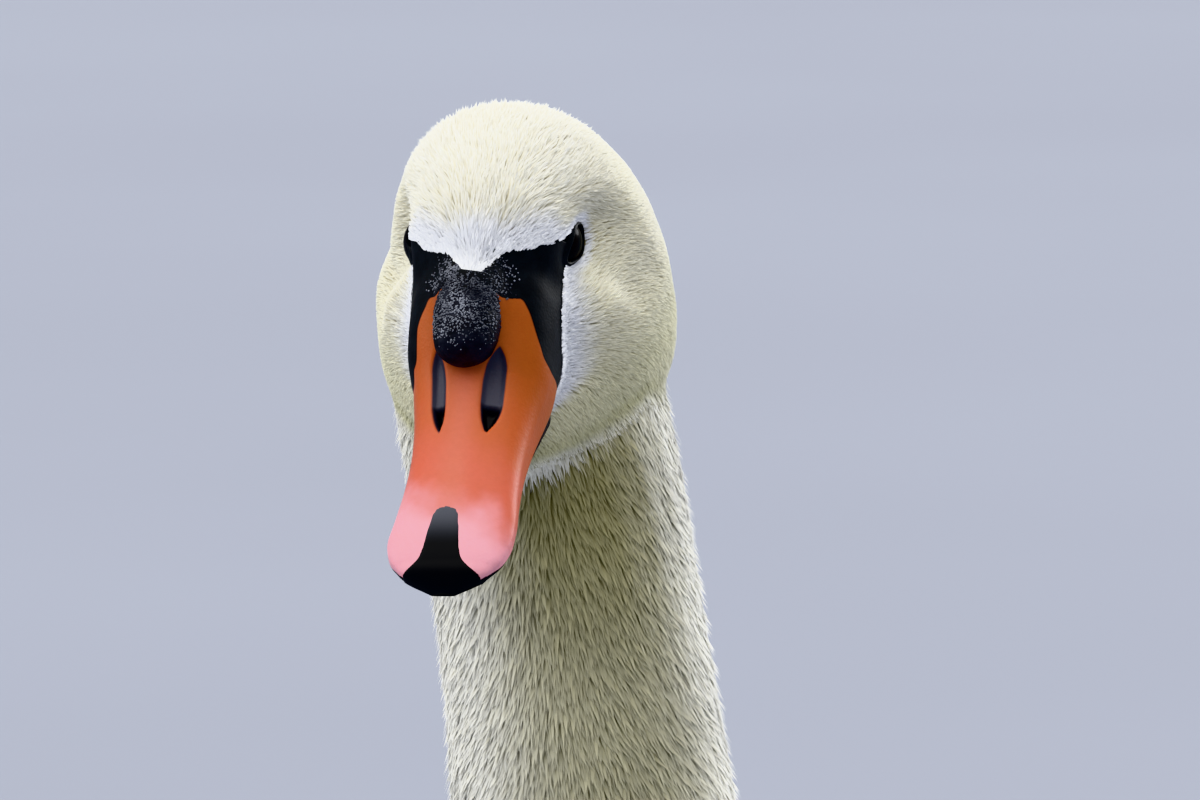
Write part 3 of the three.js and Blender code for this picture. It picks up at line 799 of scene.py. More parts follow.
def foot_material(props):
    """Leathery dark grey foot skin, netted with small scales and dry at the creases."""
    material, tree = new_material("Dark grey scaly foot skin")
    place = add(tree, "ShaderNodeTexCoord").outputs["Object"]
    net = add(tree, "ShaderNodeTexVoronoi", {"Vector": place, "Scale": 480.0}, feature="DISTANCE_TO_EDGE")
    lines = add(tree, "ShaderNodeMapRange", {"Value": net, "From Max": 0.18})
    dust = add(tree, "ShaderNodeTexNoise", {"Vector": place, "Scale": 60.0, "Detail": 4.0})
    shades = [(0.3, props.foot_dark), (0.75, props.foot_pale)]
    tone = add(tree, "ShaderNodeValToRGB", {"Fac": dust}, shades)
    base = add(
        tree,
        "ShaderNodeMix",
        {"Factor": lines, "A": colour(linear("#14130f")), "B": tone},
        data_type="RGBA",
    )
    bump = add(tree, "ShaderNodeBump", {"Height": lines, "Strength": 0.5, "Distance": 0.0004})
    end_material(tree, Base_Color=base, Roughness=0.6, Normal=bump)
    return material


def plain_material(name, value, roughness):
    """A plain matt studio surface with a trace of unevenness."""
    material, tree = new_material(name)
    place = add(tree, "ShaderNodeTexCoord").outputs["Object"]
    cloud = add(tree, "ShaderNodeTexNoise", {"Vector": place, "Scale": 0.8, "Detail": 2.0})
    shades = [(0.3, np.array(value) * 0.98), (0.7, np.array(value) * 1.02)]
    base = add(tree, "ShaderNodeValToRGB", {"Fac": cloud}, shades)
    end_material(tree, Base_Color=base, Roughness=roughness)
    return material


# ---- Plumage ----

# Depth of the coat by height above the floor: from the breast up the neck to the head.
COAT_DEPTH = ([140, 300, 560, 660], [9.0, 3.0, 2.2, 2.0])


def coat_depth(points):
    return np.interp(points[..., 2], *COAT_DEPTH)


def head_share(points):
    """1 on the head, 0 from the neck down."""
    _, ahead, up = to_head(points)
    above = up - np.interp(ahead, *JOWL_EDGE)
    width = mix(2.5, 11.0, smooth(5, -30, ahead))
    return smooth(-1, 1, above / width)


class Tints:
    """Colours of the plumage by place, for roots and tips alike."""

    # Shares of red, green and blue left by painted shade under the jowls, in their crease and on the back.
    JOWL_SHADE = np.array([0.84, 0.84, 0.72])
    CREASE_SHADE = np.array([0.8, 0.8, 0.68])
    BACK_SHADE = 0.86

    def __init__(self, props):
        self.white = np.array(props.white)
        self.shaft = np.array(props.body_root_shade)
        self.neck_tip = np.array(props.neck_tip)
        self.neck_root_cream_and_shade = np.array(props.neck_root_cream_and_shade)
        self.head_tip = np.array(props.head_tip)
        self.head_root_cream_and_shade = np.array(props.head_root_cream_and_shade)
        self.cheek_tip = np.array(props.cheek_tip)
        self.band = np.array(props.face_band)

    def at(self, points, tip):
        """Colour at a place, with tip from 0 at a feather's root to 1 at its tip."""
        tip = np.broadcast_to(tip, points.shape[:-1])[..., None]
        height = points[..., 2]
        _, ahead, up = to_head(points)
        on_head = head_share(points)[..., None]
        on_neck = smooth(215, 330, height)[..., None]
        # Roots darker than tips are painted shade where feathers overlap; on the neck and head they are
        # also cream.
        body = mix(self.shaft, self.white, tip)
        # Painted shade: the back is darker, to offset the overhead light that falls on it.
        on_back = smooth(170, 265, height) * smooth(-190, -130, points[..., 1])
        body = body * mix(1.0, self.BACK_SHADE, on_back)[..., None]
        neck = mix(self.neck_root_cream_and_shade, self.neck_tip, tip)
        crown = smooth(-4, 22, up)[..., None]
        head = mix(self.head_root_cream_and_shade, mix(self.cheek_tip, self.head_tip, crown), tip)
        # Painted shade: the lower cheeks are darker and greener under the jowls.
        jowl_shade = smooth(-14, -44, up)[..., None]
        head = head * mix(np.ones(3), self.JOWL_SHADE, jowl_shade)
        # Painted shade in the crease along the jowls' lower edge, at the front.
        rim = smooth(8, 0, up - np.interp(ahead, *JOWL_EDGE)) * smooth(-30, -5, ahead)
        head = head * mix(np.ones(3), self.CREASE_SHADE, rim[..., None])
        wider = mix(0.66, 1.0, smooth(-6, 8, up))
        warm = smooth(3.5, 11.0, -wider * bare_ahead(points, 21.0))[..., None]
        near_eye = smooth(1.2, 1.7, eye_share(points))[..., None]
        head = mix(self.band * mix(0.92, 1.0, tip), head, warm * near_eye)
        return mix(mix(body, neck, on_neck), head, on_head)


def scatter(points, quads, density, rng):
    """Random places on a mesh of even quads, at so many per square millimetre."""
    a, b, c, d = (points[quads[:, i]] for i in range(4))
    area = 0.5 * np.linalg.norm(np.cross(c - a, d - b), axis=1)
    middle = (a + b + c + d) / 4
    wanted = area * density(middle)
    count = np.floor(wanted + rng.random(len(wanted))).astype(int)
    pick = np.repeat(np.arange(len(quads)), count)
    s, t = rng.random((2, len(pick), 1))
    return (a[pick] * (1 - s) + b[pick] * s) * (1 - t) + (d[pick] * (1 - s) + c[pick] * s) * t


def spread_out(points, spacing, rng):
    """Keeps places that are at least their own spacing from each other."""
    order = rng.permutation(len(points))
    tree = KDTree(len(points))
    for i, point in enumerate(points):
        tree.insert(point, i)
    tree.balance()
    kept = np.zeros(len(points), bool)
    dropped = np.zeros(len(points), bool)
    for i in order:
        if dropped[i]:
            continue
        kept[i] = True
        for _, j, _ in tree.find_range(points[i], spacing[i]):
            dropped[j] = True
    return points[kept]


def trail(roots, length, depth, lift, shares, sway=0.0, rise=1.3):
    """Shafts along the lie from places on the outside: sunk at the root, lifted at the tip.

    Returns the shafts' points, outward directions and headings, each by feather and share of its
    length. A higher rise brings a shaft up to the outside nearer to its root.
    """
    out = unit(OUTSIDE.out(roots))
    points = [OUTSIDE.settle(roots, -depth)]
    outs = [out]
    headings = [turned(LIE.at(points[0], out), out, sway)]
    for before, share in zip(shares, shares[1:]):
        level = -depth * (1 - share) ** rise + lift * share**2
        moved = points[-1] + headings[-1] * (length * (share - before))[:, None]
        moved = OUTSIDE.settle(moved, level, 2)
        out = unit(OUTSIDE.out(moved))
        points.append(moved)
        outs.append(out)
        headings.append(turned(LIE.at(moved, out), out, sway))
    return np.stack(points, 1), np.stack(outs, 1), np.stack(headings, 1)


def turned(heading, out, angle):
    """Headings turned in the surface by an angle each."""
    aside = np.cross(out, heading)
    angle = np.broadcast_to(angle, heading.shape[:-1])[..., None]
    return unit(heading * np.cos(angle) + aside * np.sin(angle))


def to_leaders(shafts, spacing, farthest, rng):
    """From each sliver's tip to that of a leader, one sliver in so many, if it isn't far away."""
    roots, tips = shafts[:, 0], shafts[:, -1]
    leaders = rng.permutation(len(roots))[: max(2, int(len(roots) / spacing))]
    tree = KDTree(len(leaders))
    for i, leader in enumerate(leaders):
        tree.insert(roots[leader], i)
    tree.balance()
    nearest = np.array([leaders[tree.find(root)[1]] for root in roots])
    away = tips[nearest] - tips
    return away * (np.linalg.norm(away, axis=1) < farthest)[:, None]


def bake_places(roots, across, along):
    """A place for each tuft on the unwrap of the body: run along it and angle round it."""
    run, angle = line_place(roots)
    low, high = run.min(), run.max()
    u = 0.01 + 0.98 * (angle + math.pi) / (2 * math.pi)
    v = 0.01 + 0.98 * (run - low) / max(high - low, 1e-6)
    patch = 0.003
    spot = np.stack([across, along], axis=-1) * patch
    return np.stack([u, v], axis=-1)[:, None, :] + spot[None, :, :] - patch / 2


SLIVER_SHORT = (0.0, 0.5, 1.0)
SLIVER_LONG = (0.0, 0.35, 0.7, 1.0)


def slivers(name, shafts, outs, headings, width, roll, tints, shade):
    """Down: one narrow pointed blade of a few faces on each shaft."""
    count, steps = shafts.shape[:2]
    aside = np.cross(outs, headings)
    aside = unit(aside * np.cos(roll)[:, None, None] + outs * np.sin(roll)[:, None, None])
    share = np.array(SLIVER_SHORT if steps == 3 else SLIVER_LONG)
    half = 0.5 * width[:, None] * np.interp(share, [0, 0.45, 1], [0.75, 1.0, 0.0])[None, :]
    left = shafts - aside * half[..., None]
    right = shafts + aside * half[..., None]
    pairs = np.stack([left[:, :-1], right[:, :-1]], axis=2).reshape(count, -1, 3)
    points = np.concatenate([pairs, shafts[:, -1:]], axis=1)
    each = points.shape[1]
    base = (np.arange(count) * each)[:, None, None]
    rung = np.arange(steps - 2)[:, None] * 2
    quads = (rung + np.array([1, 0, 2, 3]))[None] + base
    tip = np.array([[each - 2, each - 3, each - 1]])[None] + base
    piece = make_mesh(name, points.reshape(-1, 3), quads.reshape(-1, 4), tip.reshape(-1, 3))
    along = np.append(np.repeat(share[:-1], 2), 1.0)
    across = np.append(np.tile([0.0, 1.0], steps - 1), 0.5)
    colours = tints.at(points, along[None, :]) * shade[:, None, :]
    set_tint(piece, np.clip(colours.reshape(-1, 3), 0, 1))
    set_map(piece, "OFBake", bake_places(shafts[:, 0], across, along).reshape(-1, 2))
    return piece


# A feather's half width along it, as a share of its widest.
CONTOUR = ([0, 0.25, 0.55, 0.8, 0.92, 1], [0.35, 0.85, 1.0, 0.93, 0.68, 0.2])
QUILL = ([0, 0.2, 0.5, 0.8, 0.93, 0.985, 1], [0.4, 0.8, 1.0, 0.98, 0.78, 0.4, 0.12])
CONTOUR_SHARES = (0.0, 0.3, 0.55, 0.75, 0.88, 0.96, 1.0)
QUILL_SHARES = (0.0, 0.12, 0.24, 0.36, 0.48, 0.58, 0.68, 0.77, 0.85, 0.91, 0.955, 0.985, 1.0)


class Vanes:
    """Many broad feathers of one pattern, laid along their shafts and joined into one mesh."""

    def __init__(self, profile, shares, across, camber, ridge, fray):
        self.profile = profile
        self.shares = np.array(shares)
        self.across = np.linspace(-1, 1, across)
        self.camber = camber
        self.ridge = ridge
        self.fray = fray

    def build(self, name, shafts, outs, headings, width, roll, tints, shade, places, rng):
        count, steps = shafts.shape[:2]
        across = self.across
        aside = np.cross(outs, headings)
        over = unit(outs * np.cos(roll)[:, None, None] - aside * np.sin(roll)[:, None, None])
        aside = unit(aside * np.cos(roll)[:, None, None] + outs * np.sin(roll)[:, None, None])
        share = self.shares
        half = 0.5 * width[:, None] * np.interp(share, *self.profile)
        out_by = across * half[..., None]
        drop = -self.camber * across**2 * half[..., None]
        drop = drop + self.ridge * np.exp(-((across / 0.12) ** 2))
        rough = rng.normal(size=(count, steps, len(across))) * self.fray
        rough *= np.abs(across) ** 3 + (share**6)[:, None]
        sweep = -(np.abs(across) ** 2) * half[..., None] * 0.25 + rough
        points = (
            shafts[:, :, None, :]
            + aside[:, :, None, :] * out_by[..., None]
            + over[:, :, None, :] * drop[..., None]
            + headings[:, :, None, :] * sweep[..., None]
        )
        points[..., 2] = np.maximum(points[..., 2], 0.4)
        each = steps * len(across)
        quads = grid_faces(steps, len(across), False)[:, ::-1]
        faces = quads[None] + (np.arange(count) * each)[:, None, None]
        piece = make_mesh(name, points.reshape(-1, 3), faces.reshape(-1, 4))
        tip = np.broadcast_to(share[None, :, None], points.shape[:3])
        colours = tints.at(points, tip**0.6) * shade[:, None, None, None]
        set_tint(piece, np.clip(colours.reshape(-1, 3), 0, 1))
        flat = np.stack(np.meshgrid(share, (across + 1) / 2, indexing="ij"), axis=-1)
        spot = flat.reshape(-1, 2)[:, ::-1] * 0.003 - 0.0015
        set_map(piece, "OFBake", (places[:, None, :] + spot[None]).reshape(-1, 2))
        run = np.concatenate(
            [np.zeros((count, 1)), np.cumsum(np.linalg.norm(np.diff(shafts, axis=1), axis=2), 1)], axis=1
        )
        lines = np.stack([out_by, np.broadcast_to(run[..., None], out_by.shape)], axis=-1)
        set_map(piece, "Vane", lines.reshape(-1, 2))
        return piece


def set_places(roots):
    """Middles of the bake patches of feathers with these roots."""
    return bake_places(roots, np.array([0.5]), np.array([0.5]))[:, 0]


# ---- Properties ----


def colour_prop(name, description, code):
    return bpy.props.FloatVectorProperty(
        name=name, description=description, subtype="COLOR", size=3, min=0.0, max=1.0, default=shown(code)
    )


def length_prop(name, description, default):
    return bpy.props.FloatProperty(
        name=name, description=description, default=default * MM, min=0.0, unit="LENGTH"
    )


class SwanPlumage(bpy.types.PropertyGroup):
    """Sizes and colours of the down and feathers."""

    # The body's white is greyer than the head's: painted shade against the overhead light on its broad
    # feathers.
    white: colour_prop("White", "Tips of the body's feathers", "#cfcecb")
    # Roots darker than tips are painted shade where feathers overlap.
    body_root_shade: colour_prop("Body root", "Roots of the body's feathers", "#a8a59c")
    neck_tip: colour_prop("Neck tip", "Tips of the neck's small feathers", "#faf8ee")
    # Cream, with painted shade between the neck's feathers.
    neck_root_cream_and_shade: colour_prop("Neck root", "Roots of the neck's small feathers", "#cbc6a8")
    # A real stain on the neck's front, deepened into painted shade there and under the head.
    neck_stain_and_shade: colour_prop("Neck stain and shade", "Tints the front of the neck", "#c7c4ad")
    head_tip: colour_prop("Head tip", "Tips of the crown's down", "#fefcf2")
    cheek_tip: colour_prop("Cheek tip", "Tips of the cheeks' down", "#f9f6e4")
    # Cream, with painted shade between the tufts of down.
    head_root_cream_and_shade: colour_prop("Head root", "Roots of the head's down", "#dfd6b0")
    face_band: colour_prop("Face band", "Down along the bare face", "#fafbff")
    head_hair: length_prop("Crown down", "Length of the crown's down", 6.0)
    cheek_hair: length_prop("Cheek down", "Length of the cheeks' down", 4.0)
    neck_hair: length_prop("Neck feathers", "Length of the neck's feathers", 10.0)
    body_feather: length_prop("Body feathers", "Length of the breast's feathers", 27.0)


class SwanBare(bpy.types.PropertyGroup):
    """Colours of the bill, the bare skin, the eyes and the feet."""

    horn_root: colour_prop("Bill root", "Orange at the root of the bill", "#a2552b")
    horn_middle: colour_prop("Bill middle", "Orange at the middle of the bill", "#b45c38")
    horn_salmon: colour_prop("Bill salmon", "Salmon towards the bill's end", "#be604a")
    horn_pink: colour_prop("Bill pink", "Pink round the nail", "#e9a3ae")
    # A painted highlight along the bill's ridge.
    horn_ridge_highlight: colour_prop("Bill ridge highlight", "Pale salmon along the ridge", "#c06a54")
    black_skin: colour_prop("Black skin", "Bare skin of the face", "#08090b")
    black_pale: colour_prop("Black skin, worn", "Dusty places of the bare skin", "#141619")
    nostril_skin: colour_prop("Nasal hollow", "Skin in the hollow round the nostril", "#45444e")
    nail: colour_prop("Nail", "Horn of the nail", "#08080a")
    iris: colour_prop("Iris", "Dark hazel of the eye", "#0b0705")
    foot_dark: colour_prop("Foot", "Skin of the feet", "#1e1f20")
    foot_pale: colour_prop("Foot, dry", "Dry places on the feet", "#3d3d3b")


class SwanStage(bpy.types.PropertyGroup):
    """Camera, floor and light."""

    floor: colour_prop("Floor", "Plain pale floor", "#8a8e9a")
    sky: colour_prop("Sky", "Even light from all round", "#e2e6ee")
    azimuth: bpy.props.FloatProperty(
        name="Azimuth",
        description="Camera's turn round the bird",
        default=math.radians(-12),
        subtype="ANGLE",
    )
    elevation: bpy.props.FloatProperty(
        name="Elevation",
        description="Camera's height above the horizon",
        default=math.radians(8),
        subtype="ANGLE",
    )
    distance: length_prop("Distance", "From the eyes to the camera", 2600.0)
    lens: bpy.props.FloatProperty(
        name="Lens", description="Focal length in millimetres", default=294.0, min=1.0
    )


# ---- Skin ----


class SWAN_OT_skin(bpy.types.Operator):
    """Make the one skin under the whole coat"""

    bl_idname = "swan.skin"
    bl_label = "Skin"

    BILL_STOP = 33.0
    VOXEL = 4.0

    def execute(self, context):
        first = np.floor((np.array(CAD_BOX[0]) / MM - 8) / self.VOXEL).astype(int)
        last = np.ceil((np.array(CAD_BOX[1]) / MM + 8) / self.VOXEL).astype(int)
        places = grid_places(first, last - first + 1, self.VOXEL)
        flat = places.reshape(-1, 3)
        values = OUTSIDE.at(flat)
        deeper = 3.5 * (1 - smooth(1.2, 2.2, eye_share(flat)))
        values = values + coat_depth(flat) + deeper
        ahead = to_head(flat)[1] - self.BILL_STOP
        near_head = flat[:, 2] > corner("neck_upper", False)[2]
        values = np.where(near_head, np.maximum(values, ahead), values)
        values = np.maximum(values, 1.0 - flat[:, 2])
        points, quads = zero_mesh(values.reshape(places.shape[:3]), self.VOXEL, first)
        skin = make_mesh("skin", points, quads)
        tints = Tints(context.scene.swan_plumage)
        # The skin takes the plumage's colour near the roots, with their painted shade.
        set_tint(skin, tints.at(points, 0.3))
        finish_piece(skin, skin_material(), *FLESH, slot="plumage")
        return {"FINISHED"}


# ---- Down of the head and neck ----


class SWAN_OT_head_down(bpy.types.Operator):
    """Cover the head in fine down, longest and loosest on the crown"""

    bl_idname = "swan.head_down"
    bl_label = "Head down"

    DENSITY = 3.4
    NECK_OVERLAP = 0.2

    def crown_share(self, points):
        left, _, up = to_head(points)
        return smooth(2, 16, up - 0.12 * np.abs(left)) * smooth(1.5, 9, -bare_ahead(points))

    def density(self, places):
        bare = bare_ahead(places)
        feathered = (bare < 0) & (eye_share(places) > 0.99)
        inside = OUTSIDE.share(places) > 0.02
        thicker = mix(1.9, 1.0, smooth(0, 5, -bare))
        return self.DENSITY * thicker * feathered * inside * (head_share(places) > self.NECK_OVERLAP)

    def execute(self, context):
        props = context.scene.swan_plumage
        rng = np.random.default_rng(11)
        points, quads = OUTSIDE.face.surface()
        roots = OUTSIDE.settle(scatter(points, quads, self.density, rng), 0.0)
        bare = bare_ahead(roots)
        crown = self.crown_share(roots)
        shorter = mix(0.4, 1.0, smooth(0.5, 8.0, -bare))
        shorter = shorter * mix(0.45, 1.0, smooth(1.0, 2.2, eye_share(roots)))
        length = mix(props.cheek_hair, props.head_hair, crown) / MM * shorter
        length = length * rng.uniform(0.75, 1.3, len(roots))
        length = length * mix(0.55, 1.0, smooth(0.35, 0.95, head_share(roots)))
        depth = np.minimum(coat_depth(roots), 0.45 * length)
        depth = depth * mix(0.4, 1.0, smooth(0, 4, -bare))
        stray = rng.random(len(roots)) < 0.1
        lift = mix(0.15, 0.9, crown) * rng.uniform(0.0, 1.0, len(roots)) + 1.0 * stray * crown
        lift = lift * smooth(0.3, 0.9, head_share(roots))
        sway = 0.16 * rng.normal(size=len(roots)) + 0.25 * wobble(roots, 9.0, 5) * crown
        shafts, outs, headings = trail(roots, length, depth, lift, SLIVER_SHORT, sway)
        away = to_leaders(shafts, 9, 5.0, rng)
        draw = away * (0.42 * crown * rng.uniform(0.3, 1.0, len(roots)))[:, None]
        shafts[:, -1] += draw
        shafts[:, 1] += draw * 0.35
        width = mix(0.62, 0.8, crown) * rng.uniform(0.7, 1.25, len(roots))
        roll = rng.normal(size=len(roots)) * 0.25
        shade = 1 + 0.04 * wobble(roots, 14.0, 8) + 0.05 * rng.normal(size=len(roots))
        # Painted shade: down below the jowls, at the front, takes the neck's stain and shade colour, a
        # little darker.
        fringe_shade = smooth(0.85, 0.25, head_share(roots)) * smooth(-0.2, 0.7, -outs[:, 0, 1])
        shade = shade[:, None] * mix(np.ones(3), 0.92 * np.array(props.neck_stain_and_shade), fringe_shade[:, None])
        tints = Tints(props)
        material = plumage_material("Fine white head down", False, 0.5)
        left = to_head(roots)[0]
        for name, side in SIDES:
            some = left * side >= 0
            parts = (part[some] for part in (shafts, outs, headings, width, roll))
            piece = slivers("head_down_" + name, *parts, tints, shade[some])
            finish_piece(piece, material, slot="plumage")
        return {"FINISHED"}


class SWAN_OT_neck_down(bpy.types.Operator):
    """Cover the neck in small pointed feathers with pale tips"""

    bl_idname = "swan.neck_down"
    bl_label = "Neck feathers"

    LOWEST = 225.0
    PART = 500.0
    DENSITY = 1.42

    def density(self, places):
        height = places[:, 2]
        rising = smooth(self.LOWEST, self.LOWEST + 70, height)
        fewer = mix(0.3, 1.0, smooth(self.LOWEST, self.PART, height))
        clear = (WINGS.at(places) > 3) & (head_share(places) < 0.85)
        return self.DENSITY * rising * fewer * clear * (bare_ahead(places) < 0)

    def execute(self, context):
        props = context.scene.swan_plumage
        rng = np.random.default_rng(23)
        points, quads = OUTSIDE.body.surface()
        roots = OUTSIDE.settle(scatter(points, quads, self.density, rng), 0.0)
        low = 1 - smooth(self.LOWEST, self.PART, roots[:, 2])
        high = smooth(610, 660, roots[:, 2])
        length = props.neck_hair / MM * mix(1.0, 1.75, low) * mix(1.0, 0.65, high)
        length = length * rng.uniform(0.75, 1.3, len(roots))
        depth = np.minimum(coat_depth(roots), 0.2 * length)
        stray = rng.random(len(roots)) < 0.1
        lift = rng.uniform(-0.35, 0.3, len(roots)) * mix(1, 1.5, low) + 1.4 * stray
        sway = 0.13 * rng.normal(size=len(roots)) + 0.16 * wobble(roots, 16.0, 3)
        shafts, outs, headings = trail(roots, length, depth, lift, SLIVER_LONG, sway)
        away = to_leaders(shafts, 9, 7.0, rng)
        draw = away * (0.4 * rng.uniform(0.2, 1.0, len(roots)))[:, None]
        shafts[:, -1] += draw
        shafts[:, -2] += draw * 0.5
        width = 1.36 * mix(1.0, 1.7, low) * mix(1.0, 0.65, high)
        width = width * rng.uniform(0.65, 1.3, len(roots))
        roll = rng.normal(size=len(roots)) * 0.09
        shade = 1 + 0.07 * wobble(roots, 16.0, 9) + 0.05 * rng.normal(size=len(roots))
        # The front takes the stain colour: a real stain, deepened as painted shade on the front and below
        # the head.
        front = smooth(0.55, 1.0, -outs[:, 0, 1])
        height = roots[:, 2]
        front = front * (0.3 + 0.7 * smooth(240, 420, height) + 0.3 * smooth(590, 650, height))
        shade = shade[:, None] * mix(np.ones(3), np.array(props.neck_stain_and_shade), front[:, None])
        tints = Tints(props)
        material = plumage_material("Small white neck feathers", False, 0.85)
        for level, above in (("upper", True), ("lower", False)):
            for name, side in SIDES:
                some = ((roots[:, 2] >= self.PART) == above) & (outs[:, 0, 0] * side >= 0)
                parts = (part[some] for part in (shafts, outs, headings, width, roll))
                label = f"neck_feathers_{level}_{name}"
                piece = slivers(label, *parts, tints, shade[some])
                finish_piece(piece, material, slot="plumage")
        return {"FINISHED"}


# ---- Feathers of the body ----


class SWAN_OT_body_feathers(bpy.types.Operator):
    """Tile breast, flanks, belly, back and vent with rounded contour feathers"""

    bl_idname = "swan.body_feathers"
    bl_label = "Body feathers"

    HIGHEST = 305.0
    DENSITY = 0.07
    # The strip between the wings' tips: half its width, its lowest height and its front end.
    STRIP = (24.0, 150.0, 110.0)
    # Least share of its length that a feather reaches, and least cosine between its two ends.
    STRAIGHT = (0.85, 0.6)

    def density(self, places):
        """Room for feathers below the neck and off the wings, and in the strip between them."""
        x, y, z = places.T
        below = z < self.HIGHEST
        ahead = y < corner("trunk", True)[1] + 60
        half, lowest, front = self.STRIP
        between = (np.abs(x) < half) & (z > lowest) & (y > front)
        return self.DENSITY * below * ahead * ((WINGS.at(places) > 2.0) | between)

    def execute(self, context):
        props = context.scene.swan_plumage
        rng = np.random.default_rng(37)
        points, quads = OUTSIDE.body.surface()
        spots = OUTSIDE.settle(scatter(points, quads, self.density, rng), 0.0)
        rear = corner("trunk", True)[1]
        back = smooth(40, rear, spots[:, 1])
        neck = smooth(190, self.HIGHEST, spots[:, 2])
        spacing = mix(mix(9.5, 14.0, back), 6.5, neck) * np.where(spots[:, 2] < 4, 1.8, 1.0)
        roots = spread_out(spots, spacing, rng)
        back = smooth(40, rear, roots[:, 1])
        neck = smooth(190, self.HIGHEST, roots[:, 2])
        length = props.body_feather / MM * mix(mix(1.0, 1.9, back), 0.75, neck)
        length = length * rng.uniform(0.88, 1.15, len(roots))
        depth = coat_depth(roots) * 0.8
        lift = rng.uniform(-0.5, 0.4, len(roots))
        sway = 0.08 * rng.normal(size=len(roots))
        shafts, outs, headings = trail(roots, length, depth, lift, CONTOUR_SHARES, sway, 2.8)
        reach = np.linalg.norm(shafts[:, -1] - shafts[:, 0], axis=1)
        share, cosine = self.STRAIGHT
        flat = (reach > share * length) & (dot(outs[:, 0], outs[:, -1]) > cosine)
        roots, length, back = roots[flat], length[flat], back[flat]
        shafts, outs, headings = shafts[flat], outs[flat], headings[flat]
        width = length * mix(0.66, 0.5, back) * rng.uniform(0.9, 1.1, len(roots))
        roll = rng.normal(size=len(roots)) * 0.05
        shade = 1 + 0.02 * rng.normal(size=len(roots))
        vanes = Vanes(CONTOUR, CONTOUR_SHARES, 7, 0.1, 0.08, 0.2)
        parts = (shafts, outs, headings, width, roll)
        places = set_places(roots)
        piece = vanes.build("body_feathers", *parts, Tints(props), shade, places, rng)
        finish_piece(piece, plumage_material("White contour feathers", True), slot="plumage")
        return {"FINISHED"}


# ---- Wings ----


class WingSheet:
    """The outer face of a folded wing as a smooth sheet: rows along it, columns round it."""

    # Heights of the line that the wing's slices bend round, along the wing.
    AXIS = ([0, 0.32, 0.62, 0.9, 1], [152, 120, 128, 170, 184])
    ROWS = 72
    COLUMNS = 26

    def __init__(self, name, side):
        node = "wing_" + name
        self.side = side
        self.start = corner(node, False)[1] + 1.5
        self.end = corner(node, True)[1] - 1.5
        tree = BVHTree.FromPolygons(*(part.tolist() for part in node_arrays([node])))
        rows = []
        for share in np.linspace(0, 1, self.ROWS):
            y = mix(self.start, self.end, share)
            z = np.interp(share, *self.AXIS)
            hits = []
            for angle in np.radians(np.arange(-20, 140, 1.0)):
                outward = Vector((side * math.sin(angle), 0, math.cos(angle)))
                hit = tree.ray_cast(Vector((0, y, z)) + outward * 500, -outward)[0]
                if hit is not None:
                    hits.append(np.array(hit))
            hits = np.array(hits)
            run = np.concatenate(([0], np.cumsum(np.linalg.norm(np.diff(hits, axis=0), axis=1))))
            even = np.linspace(0, run[-1], self.COLUMNS)
            rows.append(np.stack([np.interp(even, run, hits[:, a]) for a in range(3)], axis=-1))
        sheet = np.array(rows)
        for _ in range(3):
            sheet[1:-1] = 0.25 * sheet[:-2] + 0.5 * sheet[1:-1] + 0.25 * sheet[2:]
            sheet[:, 1:-1] = 0.25 * sheet[:, :-2] + 0.5 * sheet[:, 1:-1] + 0.25 * sheet[:, 2:]
        self.sheet = sheet

    def at(self, along, round_share):
        """Places by share of the wing's length and share from its upper to its lower edge."""
        r = np.clip(along, 0, 1) * (self.ROWS - 1.001)
        c = np.clip(round_share, 0, 1) * (self.COLUMNS - 1.001)
        i, j = r.astype(int), c.astype(int)
        s, t = (r - i)[..., None], (c - j)[..., None]
        grid = self.sheet
        low = grid[i, j] * (1 - t) + grid[i, j + 1] * t
        high = grid[i + 1, j] * (1 - t) + grid[i + 1, j + 1] * t
        return low * (1 - s) + high * s

    def out(self, along, round_share):
        small = 0.02
        ahead = self.at(along + small, round_share) - self.at(along - small, round_share)
        across = self.at(along, round_share + small) - self.at(along, round_share - small)
        return unit(np.cross(across, ahead)) * self.side

    def breadth(self, along):
        """Length round the wing from edge to edge at a share of its length."""
        row = self.sheet[int(np.clip(along, 0, 1) * (self.ROWS - 1))]
        return np.linalg.norm(np.diff(row, axis=0), axis=1).sum()


# Rows of a folded wing's feathers from the tip forward: the place of the row's tips along the wing,
# the range round it, and each feather's length, width and spacing.
FLIGHT_ROWS = [
    {"tips": 1.0, "range": (0.36, 0.72), "long": 200, "wide": 22, "apart": 7},
    {"tips": 0.955, "range": (0.2, 0.8), "long": 200, "wide": 27, "apart": 9},
    {"tips": 0.89, "range": (0.01, 0.9), "long": 200, "wide": 33, "apart": 14},
    {"tips": 0.8, "range": (0.01, 0.96), "long": 190, "wide": 37, "apart": 18},
    {"tips": 0.7, "range": (0.01, 0.98), "long": 175, "wide": 39, "apart": 19},
    {"tips": 0.59, "range": (0.01, 0.98), "long": 150, "wide": 38, "apart": 19},
    {"tips": 0.485, "range": (0.01, 0.98), "long": 105, "wide": 34, "apart": 17},
]
COVERT_FROM = 0.4
COVERT_TO = 0.015


def wing_rows():
    """All rows of a wing, with the coverts that grow smaller towards its front."""
    rows = list(FLIGHT_ROWS)
    tips = COVERT_FROM
    while tips > COVERT_TO:
        size = float(curve([0, 0.12, 0.25, 0.4], [22.0, 28.0, 40.0, 66.0], tips))
        rows.append(
            {
                "tips": tips,
                "range": (0.0, 1.0),
                "long": size,
                "wide": size * mix(0.74, 0.48, smooth(0.05, 0.45, tips)),
                "apart": size * mix(0.46, 0.26, smooth(0.05, 0.45, tips)),
            }
        )
        tips -= size * 0.38 / 640
    return rows


